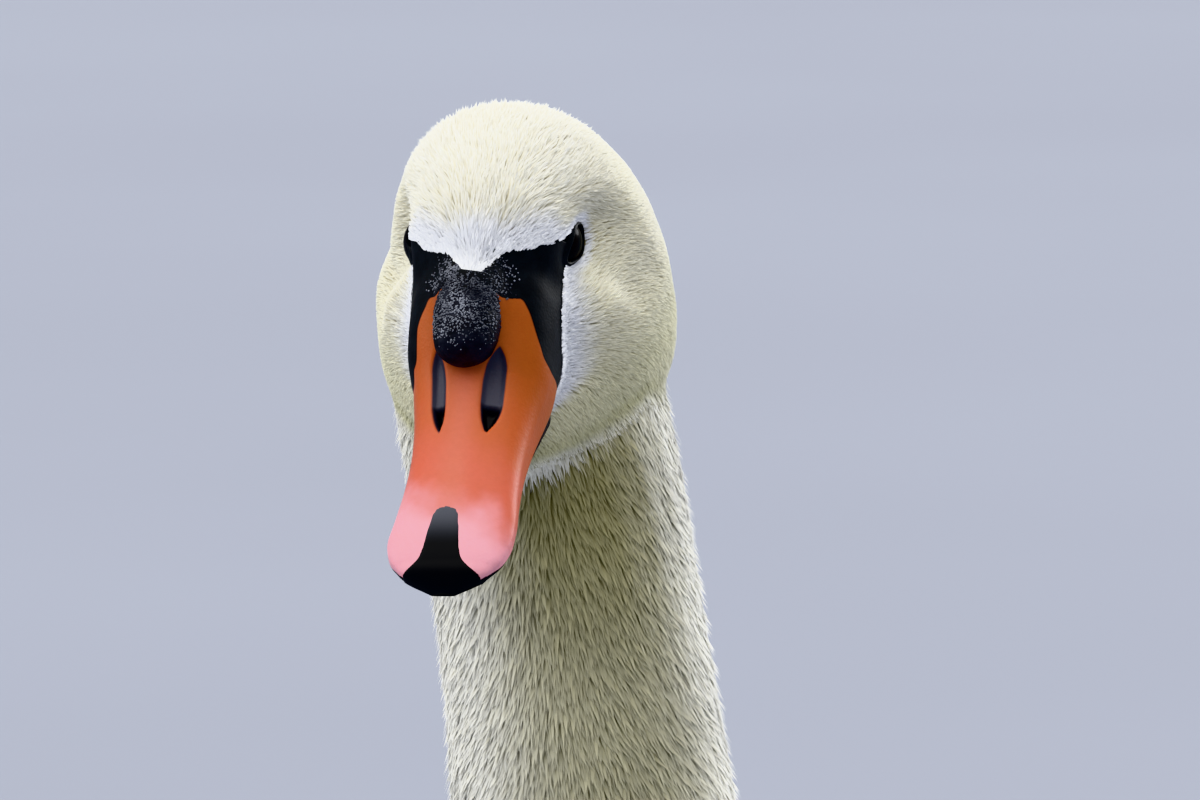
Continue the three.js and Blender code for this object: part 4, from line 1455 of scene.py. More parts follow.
class SWAN_OT_wing_feathers(bpy.types.Operator):
    """Lay coverts, tertials and flight feathers in rows over the folded wings"""

    bl_idname = "swan.wing_feathers"
    bl_label = "Wing feathers"

    SLOPE = 0.1
    # Coverts whose shafts lie farther off the plumage than this are left out.
    CLOSE = 3.5

    def lay(self, sheet, rows, shares, rng):
        """Shafts, outward directions, headings, widths and map places for several rows."""
        tip_along, tip_round, long, wide = [], [], [], []
        for number, row in enumerate(rows):
            low, high = row["range"]
            breadth = sheet.breadth(row["tips"]) * (high - low)
            count = max(2, int(round(breadth / row["apart"])))
            spots = low + (np.arange(count) + 0.5 * (number % 2)) / (count - 0.5) * (high - low)
            tip_round.append(spots + rng.normal(size=count) * 0.1 / count)
            slope = self.SLOPE * (1 - smooth(0.6, 1.0, row["tips"])) * (spots - 0.4)
            tip_along.append(row["tips"] - slope + rng.normal(size=count) * 0.006)
            long.append(row["long"] * rng.uniform(0.93, 1.07, count))
            wide.append(row["wide"] * rng.uniform(0.93, 1.07, count))
        tip_along, tip_round = np.concatenate(tip_along), np.concatenate(tip_round)
        long, wide = np.concatenate(long), np.concatenate(wide)
        span = sheet.end - sheet.start
        share = np.array(shares)[None, :]
        along = tip_along[:, None] - (1 - share) * (long / span)[:, None]
        around = tip_round[:, None] + (1 - share) ** 1.5 * 0.05 * (0.4 - tip_round[:, None])
        points = sheet.at(along, around)
        before = np.minimum(along, 0) * span
        points[..., 1] += before
        out = sheet.out(along, around)
        depth = np.clip(long * 0.3, 7, 12)[:, None]
        level = -depth * (1 - share) ** 2.4 + rng.uniform(-0.3, 0.3, (len(long), 1)) * share
        level = level - np.maximum(-before, 0) * 0.6
        points = points + out * level[..., None]
        headings = unit(np.gradient(points, axis=1))
        places = np.stack([0.02 + 0.96 * tip_round, 0.02 + 0.96 * tip_along], axis=-1)
        return points, out, headings, wide, np.clip(places, 0.01, 0.99)

    def execute(self, context):
        props = context.scene.swan_plumage
        tints = Tints(props)
        material = plumage_material("White wing feathers", True)
        rows = wing_rows()
        flight = len(FLIGHT_ROWS)
        for name, side in SIDES:
            sheet = WingSheet(name, side)
            rng = np.random.default_rng(51)
            quills = Vanes(QUILL, QUILL_SHARES, 11, 0.1, 0.3, 0.25)
            coverts = Vanes(CONTOUR, CONTOUR_SHARES, 9, 0.1, 0.1, 0.22)
            sets = [
                ("flight_feathers_", rows[:flight], quills),
                ("wing_coverts_", rows[flight:], coverts),
            ]
            for label, part, vanes in sets:
                laid = self.lay(sheet, part, vanes.shares, rng)
                if vanes is coverts:
                    close = OUTSIDE.body.at(laid[0]).max(axis=1) < self.CLOSE
                    laid = [values[close] for values in laid]
                *parts, places = laid
                roll = np.full(len(places), side * 0.07) + rng.normal(size=len(places)) * 0.02
                shade = 1 + 0.02 * rng.normal(size=len(places))
                piece = vanes.build(label + name, *parts, roll, tints, shade, places, rng)
                finish_piece(piece, material, slot="plumage")
        return {"FINISHED"}


class Back:
    """The outside of the back as heights: the plumage, and a slope up to the wings' tops."""

    STEP = 4.0
    # Where the slope starts and ends along the bird, on the middle line and 60 mm aside of it.
    START = (-160.0, -205.0)
    END = (-75.0, -145.0)
    WIDEST = 66.0

    def __init__(self):
        self.x = np.arange(-100, 100.1, self.STEP)
        self.y = np.arange(-240, 320.1, self.STEP)
        z = np.arange(300.0, 150.0, -1.5)
        x, y, z = np.meshgrid(self.x, self.y, z, indexing="ij")
        depth = OUTSIDE.body.at(np.stack([x, y, z], axis=-1))
        first = (depth < 0).argmax(axis=2)
        top = np.take_along_axis(z, first[..., None], 2)[..., 0]
        top = np.where((depth < 0).any(axis=2), top, z.min())
        x, y = x[..., 0], y[..., 0]
        crown = np.broadcast_to(top.max(axis=0), top.shape)
        ahead = self.y.searchsorted(-50.0)
        crown = np.where(y < -50, crown[:, ahead : ahead + 1], crown) - 0.004 * x**2
        aside = np.clip(np.abs(x) / 60, 0, 1) ** 2
        rising = smooth(mix(self.START[0], self.START[1], aside), mix(*self.END, aside), y)
        rising = rising * smooth(self.WIDEST + 14, self.WIDEST, np.abs(x))
        self.top = blur(np.maximum(top, mix(top, crown, rising)), 1.0)

    def at(self, places):
        i = np.clip((places[..., 0] - self.x[0]) / self.STEP, 0, len(self.x) - 1.001)
        j = np.clip((places[..., 1] - self.y[0]) / self.STEP, 0, len(self.y) - 1.001)
        a, b = i.astype(int), j.astype(int)
        s, t = i - a, j - b
        low = self.top[a, b] * (1 - t) + self.top[a, b + 1] * t
        high = self.top[a + 1, b] * (1 - t) + self.top[a + 1, b + 1] * t
        return low * (1 - s) + high * s

    def out(self, places):
        """The direction straight out of the back."""
        step = np.array([self.STEP, 0.0])
        across = (self.at(places + step) - self.at(places - step)) / (2 * self.STEP)
        step = step[::-1]
        along = (self.at(places + step) - self.at(places - step)) / (2 * self.STEP)
        return unit(np.stack([-across, -along, np.ones_like(along)], axis=-1))


class SWAN_OT_mantle_feathers(bpy.types.Operator):
    """Lay broad feathers from the neck's root over the back, between the wings and onto them"""

    bl_idname = "swan.mantle_feathers"
    bl_label = "Mantle feathers"

    FIRST = -190.0
    LAST = 175.0
    # Half the covered width along the bird.
    HALF = ([-190, -150, -80, -20, 40, 110, 175], [52, 70, 68, 50, 36, 28, 16])

    def execute(self, context):
        props = context.scene.swan_plumage
        rng = np.random.default_rng(43)
        back = Back()
        roots = []
        y = self.FIRST
        number = 0
        while y < self.LAST:
            growing = smooth(-120, 120, y)
            half = np.interp(y, *self.HALF)
            count = max(2, int(round(2 * half / mix(12.5, 19.0, growing))))
            x = (np.arange(count) + 0.5 + 0.25 * (-1) ** number) / count * 2 - 1
            x = x * half + rng.normal(size=count) * 1.1
            roots.append(np.stack([x, y + rng.normal(size=count) * 1.6], axis=-1))
            y += mix(10.5, 19.0, growing)
            number += 1
        roots = np.concatenate(roots)
        growing = smooth(-120, 120, roots[:, 1])
        length = mix(36.0, 84.0, growing) * rng.uniform(0.93, 1.08, len(roots))
        angle = 0.12 * np.clip(roots[:, 0] / 60, -1, 1) + 0.05 * rng.normal(size=len(roots))
        ahead = np.stack([np.sin(angle), np.cos(angle)], axis=-1)
        share = np.array(CONTOUR_SHARES)
        run = (share[None, :] * length[:, None])[..., None]
        places = roots[:, None, :] + ahead[:, None, :] * run
        outs = back.out(places)
        level = 1.3 - 8.0 * (1 - share) ** 2.4 + rng.uniform(-0.3, 0.5, (len(roots), 1)) * share
        shafts = np.concatenate([places, back.at(places)[..., None]], axis=-1)
        shafts = shafts + outs * level[..., None]
        headings = unit(np.gradient(shafts, axis=1))
        width = length * mix(0.62, 0.4, growing) * rng.uniform(0.94, 1.06, len(roots))
        roll = rng.normal(size=len(roots)) * 0.04
        shade = 1 + 0.02 * rng.normal(size=len(roots))
        vanes = Vanes(CONTOUR, CONTOUR_SHARES, 9, 0.1, 0.1, 0.22)
        spots = set_places(shafts[:, 0])
        parts = (shafts, outs, headings, width, roll)
        piece = vanes.build("mantle_feathers", *parts, Tints(props), shade, spots, rng)
        finish_piece(piece, plumage_material("White mantle feathers", True), slot="plumage")
        return {"FINISHED"}


# ---- Tail ----


class SWAN_OT_tail_feathers(bpy.types.Operator):
    """Fan the long tail feathers out behind the body"""

    bl_idname = "swan.tail_feathers"
    bl_label = "Tail feathers"

    COUNT = 23

    def execute(self, context):
        props = context.scene.swan_plumage
        rng = np.random.default_rng(61)
        low, high = corner("tail", False), corner("tail", True)
        fan = np.linspace(-1, 1, self.COUNT)
        share = np.array(QUILL_SHARES)[None, :]
        reach = high[1] - low[1]
        tip_y = high[1] - 2 - 0.36 * reach * np.abs(fan) ** 1.5
        tip_x = fan * (high[0] - 9) * (1 - 0.12 * np.abs(fan))
        root_y = low[1] - 12 + 0 * fan
        root_x = fan * high[0] * 0.5
        x = root_x[:, None] + (tip_x - root_x)[:, None] * share
        y = root_y[:, None] + (tip_y - root_y)[:, None] * share
        rest = (low[2] + high[2]) / 2
        layer = 4.0 * (1 - np.abs(fan)) + 0.5 * (np.arange(self.COUNT) % 2)
        z = rest - 3 + layer[:, None] + (y - low[1]) / reach * (high[2] - rest - 8)
        z = z - 6 * fan[:, None] ** 2 * share
        shafts = np.stack([x, y, z], axis=-1)
        headings = unit(np.gradient(shafts, axis=1))
        tilt = 0.22 * fan
        out = np.stack([np.sin(tilt), 0 * tilt, np.cos(tilt)], axis=-1)[:, None, :]
        out = unit(out - headings * dot(out, headings)[..., None])
        width = 31 * rng.uniform(0.95, 1.05, self.COUNT)
        roll = -0.1 * np.sign(fan)
        places = np.stack([0.5 + 0.45 * fan, 0.5 + 0 * fan], axis=-1)
        vanes = Vanes(QUILL, QUILL_SHARES, 11, 0.12, 0.4, 0.25)
        shade = 1 + 0.02 * rng.normal(size=self.COUNT)
        parts = (shafts, out, headings, width, roll)
        piece = vanes.build("tail_feathers", *parts, Tints(props), shade, places, rng)
        finish_piece(piece, plumage_material("White tail feathers", True), slot="plumage")
        return {"FINISHED"}


# ---- Bill ----

# The upper bill by distance ahead of the eyes: half width, and heights of its ridge and its edge.
BILL_AHEAD = [2, 8, 16, 26, 35, 44, 54, 65, 77, 88, 96, 102, 106.5, 108.5]
BILL_SIDE = [14, 19.3, 20.5, 20.6, 20, 18.6, 16.9, 15.9, 16.1, 16.9, 16.2, 13.4, 8.6, 3.4]
BILL_RIDGE = [5, 9, 10.5, 7.5, -0.5, -8, -12.5, -16, -18.8, -21.4, -23.6, -26, -28.6, -31.2]
BILL_EDGE = [-24, -29, -30.2, -30.4, -30.4, -30.6, -31, -31.3, -31.5, -31.5, -31.8, -32.4, -33.4, -34.4]
SHOULDER_BEND = 0.8
WALL_BEND = 0.36
FLOOR_BEND = 0.45
TIP = BILL_AHEAD[-1]

# The leaf-shaped hollow beside the ridge that holds each nostril: its middle's distance from the
# midline and its half width, by distance ahead of the eyes.
HOLLOW_AHEAD = [39, 40.5, 42.5, 46, 50, 55, 58.5, 62]
HOLLOW_MIDDLE = [8.5, 8.4, 8.1, 7.6, 7.35, 7.1, 6.75, 6.3]
HOLLOW_HALF = [0.1, 1.2, 2.1, 2.5, 2.55, 2.35, 1.6, 0.1]
BILL_MIDDLE = -0.95
HOLLOW_DEEP = 1.5
NOSTRIL_FROM = 53.5
NOSTRIL_DEEP = 1.8

# The knob over the bill's root is drawn round these two places in the head's frame.
KNOB_BALLS = ((-1.2, 27.0, 5.0), (-1.2, 38.4, -0.8))

# Where black face skin ends on the bill's side, ahead of the eyes, by height.
BLACK_HEIGHTS = [-33, -31.5, -28, -19.4, -14.7, -10.7, -8, -5.4, -3, -0.6, 1.1, 2.6, 3.0, 3.5, 3.8, 4.3, 5]
BLACK_AHEAD = [26.5, 28.5, 31, 34.7, 36.9, 36.9, 35.3, 33.7, 32, 30.4, 29.3, 28.3, 28.2, 28.8, 30, 33, 40]
# The nail's outline seen from above: its half width, by distance ahead of the eyes.
NAIL_AHEAD = [86, 86.6, 88, 90.5, 95, 99, 102, 104, 105.5, 108.5]
NAIL_HALF = [0.2, 1.9, 3.1, 3.7, 4.4, 5.0, 6.3, 9.0, 13.0, 16.0]


def bill_section(ahead, angle):
    """Left and up of the upper bill's outside at an angle from its ridge."""
    side = curve(BILL_AHEAD, BILL_SIDE, ahead)
    ridge = curve(BILL_AHEAD, BILL_RIDGE, ahead)
    edge = curve(BILL_AHEAD, BILL_EDGE, ahead)
    tall = (ridge - edge) / 2
    over = np.cos(angle) > 0
    out = power(np.sin(angle), np.where(over, SHOULDER_BEND, WALL_BEND))
    up = np.where(over, np.cos(angle), power(np.cos(angle), FLOOR_BEND))
    return out * side, edge + tall + up * tall


def nail_inset(left, ahead):
    """How far inside the nail's outline a place is, seen from above: below zero outside it."""
    half = curve(NAIL_AHEAD, NAIL_HALF, ahead)
    return np.minimum(half - np.abs(left + 0.9), (ahead - NAIL_AHEAD[0]) * 1.3)


class SWAN_OT_bill(bpy.types.Operator):
    """Make the upper bill with the bare face, its nail and the lower bill"""

    bl_idname = "swan.bill"
    bl_label = "Bill"

    ROWS = 230
    AROUND = 220
    FACE_TO = (29.0, 41.0)
    FACE_LEVEL = -0.55

    def sheet(self):
        """Places of the upper bill in the head's frame, by row and angle."""
        share = np.linspace(0, 1, self.ROWS)
        ahead = mix(3.0, TIP, 1 - (1 - share) ** 1.25)[:, None]
        turn = np.linspace(0, 2 * math.pi, self.AROUND, endpoint=False)[None, :]
        angle = turn + 0.18 * np.sin(2 * turn)
        left, up = bill_section(ahead, angle)
        slimmer = 0.1 * smooth(28, 42, ahead) * (1 - smooth(84, 100, ahead))
        left = left * np.where(left < 0, 1 - slimmer, 1)
        tip = smooth(98, TIP, ahead)
        ahead = np.broadcast_to(ahead - 1.2 * tip, left.shape)
        return np.stack([left, ahead, up + 0.6 * tip], axis=-1)

    def carve(self, sheet):
        """Sinks the nostrils' hollows into both sides, and gives how hollow each place is."""
        left, ahead, up = np.moveaxis(sheet, -1, 0)
        aside = left - mix(-1.1, -0.35, smooth(42, 61, ahead))
        middle = curve(HOLLOW_AHEAD, HOLLOW_MIDDLE, ahead)
        half = curve(HOLLOW_AHEAD, HOLLOW_HALF, ahead) * (1 + 0.2 * np.sign(aside))
        ends = np.minimum(ahead - HOLLOW_AHEAD[0], HOLLOW_AHEAD[-1] - ahead)
        inside = np.minimum(half - np.abs(np.abs(aside) - middle), ends)
        inside = np.where(up > -26, inside, -3.0)
        nostril = np.minimum(inside - 0.2, 0.6 * (ahead - NOSTRIL_FROM))
        depth = HOLLOW_DEEP * smooth(-0.4, 1.2, inside)
        depth = depth + NOSTRIL_DEEP * smooth(-0.2, 1.2, nostril)
        along = np.gradient(sheet, axis=0)
        round_it = np.roll(sheet, -1, 1) - np.roll(sheet, 1, 1)
        out = unit(np.cross(round_it, along))
        core = sheet.mean(axis=1, keepdims=True)
        out = out * np.sign(dot(out, sheet - core).sum())
        return sheet - out * depth[..., None], out, inside, nostril

    def execute(self, context):
        props = context.scene.swan_bare
        plain = self.sheet()
        carved, out, hollow, nostril = self.carve(plain)
        left, ahead, up = np.moveaxis(plain, -1, 0)
        world = from_head(*np.moveaxis(carved, -1, 0))
        face = OUTSIDE.settle(from_head(left, ahead, up), self.FACE_LEVEL, 5)
        sink = np.minimum(bare_ahead(face) + 1.0, 0) * 0.45
        gap = np.linalg.norm(np.stack(to_head(face), axis=-1) - KNOB_BALLS[0], axis=-1) - 8.0
        fillet = 1.3 * np.clip(1 - gap / 6, 0, 1) ** 2 * (bare_ahead(face) > -1)
        face = OUTSIDE.settle(face, self.FACE_LEVEL + fillet + np.maximum(sink, -3), 3)
        keep = (1 - smooth(*self.FACE_TO, ahead)) * (up > -29)
        world = mix(world, face, keep[..., None])
        tip, quads, fan = self.closed_tip(world)
        bill = make_mesh("bill", tip, quads, fan)
        face_out(bill)

        def with_tip(values):
            return np.append(values.reshape(-1), values[-1].mean())

        black = curve(BLACK_HEIGHTS, BLACK_AHEAD, up)
        turned_away = 2.1 * smooth(-3.5, -11, up) + 4.4 * smooth(-12, -16.6, up)
        black = black + turned_away * smooth(-27, -21, up) * (left < 0)
        edge = ahead - black - 0.3 * wobble(plain, 5.0, 4)
        rim = curve(BILL_AHEAD, BILL_EDGE, ahead) + mix(1.2, 0.5, smooth(30, 60, ahead))
        edge = np.minimum(edge, up - rim)
        edge = np.where(up < -30, -1.0, edge)
        set_number(bill, "Edge", with_tip(edge))
        # The horn runs from orange to pink ahead; the bird's left side is shifted towards the darker
        # orange as painted shade.
        along = np.clip((ahead - 30) / 70, 0, 1) * 0.8 - 0.07 * np.clip(left / 14, -1, 1)
        set_number(bill, "Along", with_tip(along))
        # Painted highlight along the ridge, fading out before the nail.
        ridge = np.exp(-(((left - BILL_MIDDLE) / 4.0) ** 2))
        ridge = ridge * smooth(-0.2, 0.2, up + 30) * smooth(36, 48, ahead)
        set_number(bill, "Rise", with_tip(0.75 * ridge * (1 - smooth(80, 95, ahead))))
        set_number(bill, "Hollow", with_tip(hollow))
        set_number(bill, "Nostril", with_tip(nostril))
        places = np.stack(to_head(tip), axis=-1)
        reach = [np.linalg.norm(places - ball, axis=-1) for ball in KNOB_BALLS]
        near = 1 - smooth(9, 15, np.minimum(*reach))
        open_skin = (with_tip(edge) < -1.0) * (bare_ahead(tip) > 0.3)
        set_number(bill, "Grain", near * open_skin * smooth(-1, 5, places[:, 2]))
        finish_piece(bill, bill_material(props), "upper_bill", slot="bill_orange")
        self.nail(props, plain, out)
        self.lower()
        return {"FINISHED"}

    def closed_tip(self, rows):
        """Points, quads and triangles of rows of places whose last row is closed to a point."""
        points = rows.reshape(-1, 3)
        points = np.concatenate([points, points[-self.AROUND :].mean(0, keepdims=True)])
        ends = np.arange(self.AROUND) + (self.ROWS - 1) * self.AROUND
        fan = np.stack([ends, np.roll(ends, -1), np.full(self.AROUND, len(points) - 1)], axis=-1)
        return points, grid_faces(self.ROWS, self.AROUND, True), fan

    def nail(self, props, plain, out):
        """The nail: a raised black plate that dips into the bill along its own outline."""
        left, ahead, _ = np.moveaxis(plain, -1, 0)
        inset = nail_inset(left, ahead)
        raised = mix(-0.35, 0.2, smooth(-0.8, 0.7, inset))
        sheet = plain + out * raised[..., None]
        points, quads, fan = self.closed_tip(from_head(*np.moveaxis(sheet, -1, 0)))
        wanted = (inset.reshape(-1)[quads] > -1.2).all(axis=1)
        points, parts = used_only(points, quads[wanted], fan)
        nail = make_mesh("bill_nail_plate", points, *parts)
        face_out(nail)
        # Painted sheen: grey on the nail's top towards its back, fading to black ahead.
        worn = 1 - smooth(87, 98, to_head(points)[1])
        set_tint(nail, mix(np.array(props.nail), linear("#4c4e55"), worn[:, None]))
        material = nail_material()
        finish_piece(nail, material, "bill_nail", slot="bill_black")

    def lower(self):
        """The lower bill: a shallow keel whose black rim shows under the upper one."""
        rows, around = 70, 48
        share = np.linspace(0, 1, rows)[:, None]
        ahead = mix(27.0, 103.0, share)
        tucked = 1 - smooth(0, 0.14, share)
        side = curve(BILL_AHEAD, BILL_SIDE, ahead) - 2.3 - 4.0 * tucked
        top = curve(BILL_AHEAD, BILL_EDGE, ahead) + 0.6
        deep = mix(8.5, 2.6, share**0.7)
        turn = np.linspace(-math.pi / 2, math.pi / 2, around)[None, :]
        left = power(np.sin(turn), 0.8) * side
        up = top - power(np.cos(turn), 0.7) * deep
        rim = from_head(left, ahead + 0 * left, up)
        inner = from_head(left * 0.97, ahead + 0 * left, top + 0.4 + 0 * left)
        ring = np.concatenate([rim, inner[:, ::-1]], axis=1)
        quads = grid_faces(rows, 2 * around, True)
        points = ring.reshape(-1, 3)
        points, fans = capped(points, rows, 2 * around)
        lower = make_mesh("lower_bill_keel", points, quads, fans)
        face_out(lower)
        material = dark_skin_material(
            "Black lower bill horn", linear("#121214"), linear("#232428"), 0.5, 0.0, 900.0
        )
        finish_piece(lower, material, "lower_bill", slot="bill_black")


def used_only(points, *faces):
    """The points that some faces use, with the faces numbered to match."""
    used = np.unique(np.concatenate([part.ravel() for part in faces]))
    number = np.full(len(points), -1)
    number[used] = np.arange(len(used))
    return points[used], [number[part] for part in faces]


def capped(points, rows, around):
    """A fan of triangles over each end of a closed tube of rings."""
    first, last = points[:around].mean(0), points[-around:].mean(0)
    start = np.arange(around)
    end = start + (rows - 1) * around
    points = np.concatenate([points, first[None], last[None]])
    fans = [
        np.stack([np.roll(start, -1), start, np.full(around, len(points) - 2)], axis=-1),
        np.stack([end, np.roll(end, -1), np.full(around, len(points) - 1)], axis=-1),
    ]
    return points, np.concatenate(fans)


def face_out(piece):
    """Turns the faces of a nearly closed mesh outward, going by the sign of its volume."""
    mesh = piece.data
    mesh.calc_loop_triangles()
    place = np.empty(len(mesh.vertices) * 3)
    mesh.vertices.foreach_get("co", place)
    place = place.reshape(-1, 3)
    place -= place.mean(0)
    corners = np.empty(len(mesh.loop_triangles) * 3, np.int32)
    mesh.loop_triangles.foreach_get("vertices", corners)
    a, b, c = (place[corners.reshape(-1, 3)[:, i]] for i in range(3))
    if dot(a, np.cross(b, c)).sum() < 0:
        mesh.flip_normals()


# ---- Knob ----

KNOB_RADII = (8.0, 9.2)


def grain_tree(material):
    """Geometry nodes that strew small round grains over a surface."""
    tree = bpy.data.node_groups.new("Knob grains", "GeometryNodeTree")
    for name, kind, way, value in (
        ("Geometry", "NodeSocketGeometry", "INPUT", None),
        ("Density", "NodeSocketFloat", "INPUT", 4000000.0),
        ("Smallest", "NodeSocketFloat", "INPUT", 0.13 * MM),
        ("Largest", "NodeSocketFloat", "INPUT", 0.34 * MM),
        ("Seed", "NodeSocketInt", "INPUT", 4),
        ("Geometry", "NodeSocketGeometry", "OUTPUT", None),
    ):
        socket = tree.interface.new_socket(name=name, in_out=way, socket_type=kind)
        if value is not None:
            socket.default_value = value
    given = add(tree, "NodeGroupInput")
    grain_share = add(tree, "GeometryNodeInputNamedAttribute", {"Name": "Grain"})
    density = add(
        tree, "ShaderNodeMath", {0: given.outputs["Density"], 1: grain_share}, operation="MULTIPLY"
    )
    spots = add(
        tree,
        "GeometryNodeDistributePointsOnFaces",
        {"Mesh": given.outputs["Geometry"], "Density": density, "Seed": given.outputs["Seed"]},
    )
    ball = add(tree, "GeometryNodeMeshIcoSphere", {"Radius": 1.0, "Subdivisions": 1})
    size = add(
        tree,
        "FunctionNodeRandomValue",
        {
            "Min": given.outputs["Smallest"],
            "Max": given.outputs["Largest"],
            "Seed": given.outputs["Seed"],
        },
    )
    strewn = add(
        tree,
        "GeometryNodeInstanceOnPoints",
        {"Points": spots, "Instance": ball, "Rotation": spots.outputs["Rotation"], "Scale": size},
    )
    real = add(tree, "GeometryNodeRealizeInstances", {"Geometry": strewn})
    soft = add(tree, "GeometryNodeSetShadeSmooth", {"Geometry": real})
    dressed = add(tree, "GeometryNodeSetMaterial", {"Geometry": soft, "Material": material})
    add(tree, "NodeGroupOutput", {"Geometry": dressed})
    return tree


def baked(name, piece, tree, **inputs):
    """The result of a node tree on a piece as a plain mesh of its own."""
    modifier = piece.modifiers.new("Made", "NODES")
    modifier.node_group = tree
    for item in tree.interface.items_tree:
        if item.in_out == "INPUT" and item.name in inputs:
            modifier[item.identifier] = inputs[item.name]
    ready = piece.evaluated_get(bpy.context.evaluated_depsgraph_get())
    mesh = bpy.data.meshes.new_from_object(ready)
    piece.modifiers.remove(modifier)
    made = bpy.data.objects.new(name, mesh)
    bpy.context.scene.collection.objects.link(made)
    return made


class SWAN_OT_knob(bpy.types.Operator):
    """Make the knob over the bill's root, with grains on its upper half"""

    bl_idname = "swan.knob"
    bl_label = "Knob"

    ROWS = 180
    AROUND = 220
    # Grains to a square metre on the knob and on the face.
    KNOB_GRAINS = 3.6e6
    FACE_GRAINS = 1.4e6

    def execute(self, context):
        back, front = np.array(KNOB_BALLS)
        axis = front - back
        heading = unit(axis)
        over = np.cross([1.0, 0, 0], heading)
        over = over * np.sign(over[2])
        share = np.linspace(0, 1, self.ROWS)[:, None]
        radius = mix(KNOB_RADII[0], KNOB_RADII[1], smooth(0.2, 0.8, share))
        across = np.sin(math.pi * share) * radius
        turn = np.linspace(0, 2 * math.pi, self.AROUND, endpoint=False)[None, :]
        middle = back + axis * smooth(0.3, 0.7, share) - heading * np.cos(math.pi * share) * radius
        sheet = (
            middle[:, None, :]
            + over * (np.cos(turn) * across)[..., None]
            + np.array([1.0, 0, 0]) * (np.sin(turn) * across)[..., None]
        )
        centre_line = (back + front) / 2
        out = unit(sheet - centre_line)
        rough = smooth(-7.5, -3.0, sheet[..., 2] - 0.35 * (sheet[..., 1] - 33))
        lumps = 0.3 * wobble(sheet, 6.0, 2)
        lumps += rough * (0.05 * wobble(sheet, 1.1, 3) + 0.06 * wobble(sheet, 0.6, 7))
        sheet = sheet + out * lumps[..., None]
        points = from_head(*np.moveaxis(sheet, -1, 0)).reshape(-1, 3)
        covered = smooth(0.8, -2.0, bare_ahead(points))
        points = points - unit(OUTSIDE.out(points)) * (1.6 * covered)[:, None]
        points, fans = capped(points, self.ROWS, self.AROUND)
        knob = make_mesh("knob", points, grid_faces(self.ROWS, self.AROUND, True), fans)
        face_out(knob)
        _, ahead, up = to_head(points)
        grain = smooth(-7.0, 4.0, up - 0.35 * (ahead - 33))
        grain = grain * smooth(-2.6, 0.4, wobble(points, 2.5, 6)) * mix(0.4, 1.3, smooth(-1, 9, up))
        set_number(knob, "Grain", grain)
        skin = dark_skin_material(
            "Black knob skin", linear("#101012"), linear("#303137"), 0.6, 0.0, 1300.0
        )
        grains_skin = dark_skin_material(
            "Pale knob grains", linear("#2b2c31"), linear("#979aa4"), 0.5, 0.1, 700.0
        )
        tree = grain_tree(grains_skin)
        strewn = [(knob, "knob_grains", self.KNOB_GRAINS)]
        strewn.append((bpy.data.objects["bill"], "face_grains", self.FACE_GRAINS))
        for piece, label, density in strewn:
            grains = baked(label, piece, tree, Density=density, Seed=4)
            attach(grains, "root")
        finish_piece(knob, skin, "bill_knob", slot="knob_skin")
        return {"FINISHED"}


# ---- Eyes ----


class SWAN_OT_eyes(bpy.types.Operator):
    """Make the eyeballs and the bare lids round them"""

    bl_idname = "swan.eyes"
    bl_label = "Eyes"

    # Rings of a lid from its hidden outer edge inward: share of the opening, and height over the
    # plumage's outside. Those of its lip have their height over the eyeball instead.
    LID_RINGS = [(1.6, -2.6), (1.32, -1.6), (1.14, -0.5), (1.04, 0.4), (0.97, 0.8)]
    LID_LIP = [(0.91, 0.2), (0.86, -0.15), (0.8, -0.8)]
    LIP_DEEPEST = 3.6
    # How far each eyeball stands out from its place in the frame.
    PROUD = {"left": 0.6, "right": 1.3}

    def execute(self, context):
        props = context.scene.swan_bare
        wet = eye_material(props)
        lid_skin = dark_skin_material(
            "Black lid skin", props.black_skin, props.black_pale, 0.55, 0.1, 1800.0
        )
        for name, side in SIDES:
            self.ball(name, side, wet)
            self.lid(name, side, lid_skin)
        return {"FINISHED"}

    def ball(self, name, side, material):
        rows, around = 40, 64
        tilt = np.linspace(0, math.pi, rows)[:, None]
        turn = np.linspace(0, 2 * math.pi, around, endpoint=False)[None, :]
        radius = EYE_RADIUS * 0.995
        left = side * (EYE_ASIDE + self.PROUD[name] + radius * np.cos(tilt)) + 0 * turn
        ahead = radius * np.sin(tilt) * np.cos(turn)
        up = radius * np.sin(tilt) * np.sin(turn)
        points = from_head(left, ahead, up).reshape(-1, 3)
        points, fans = capped(points, rows, around)
        eye = make_mesh("eyeball_" + name, points, grid_faces(rows, around, True), fans)
        face_out(eye)
        _, ahead, up = to_head(points)
        set_number(eye, "Ring", np.hypot(ahead, up) / radius)
        finish_piece(eye, material, "eye_" + name, slot="eye")

    def lid(self, name, side, material):
        around = 96
        angle = np.linspace(0, 2 * math.pi, around, endpoint=False)
        reach = opening_reach(angle)
        rings = []
        for share, level in self.LID_RINGS:
            ahead, up = share * reach * np.cos(angle), share * reach * np.sin(angle)
            start = from_head(side * (EYE_ASIDE + 6), ahead, up)
            rings.append(OUTSIDE.settle(start, level, 5))
        for share, level in self.LID_LIP:
            ahead, up = share * reach * np.cos(angle), share * reach * np.sin(angle)
            radius = EYE_RADIUS + level
            out = np.sqrt(np.maximum(radius**2 - ahead**2 - up**2, self.LIP_DEEPEST**2))
            rings.append(from_head(side * (EYE_ASIDE + self.PROUD[name] + out), ahead, up))
        points = np.array(rings)
        points[1:-1] = 0.25 * points[:-2] + 0.5 * points[1:-1] + 0.25 * points[2:]
        quads = grid_faces(len(rings), around, True)
        lid = make_mesh("lids_" + name, points.reshape(-1, 3), quads)
        if self.faces_in(lid, side):
            lid.data.flip_normals()
        finish_piece(lid, material, slot="knob_skin")

    def faces_in(self, lid, side):
        """True if a lid's faces look into the head."""
        lid.data.update()
        total = Vector((0, 0, 0))
        for face in lid.data.polygons:
            total += face.normal * face.area
        return np.dot(np.array(total), HEAD_AXES[:, 0]) * side < 0


# ---- Feet ----

TOE_TURNS = (-12.0, 0.0, 12.0)
TOE_SHARES = (0.8, 1.0, 0.93)


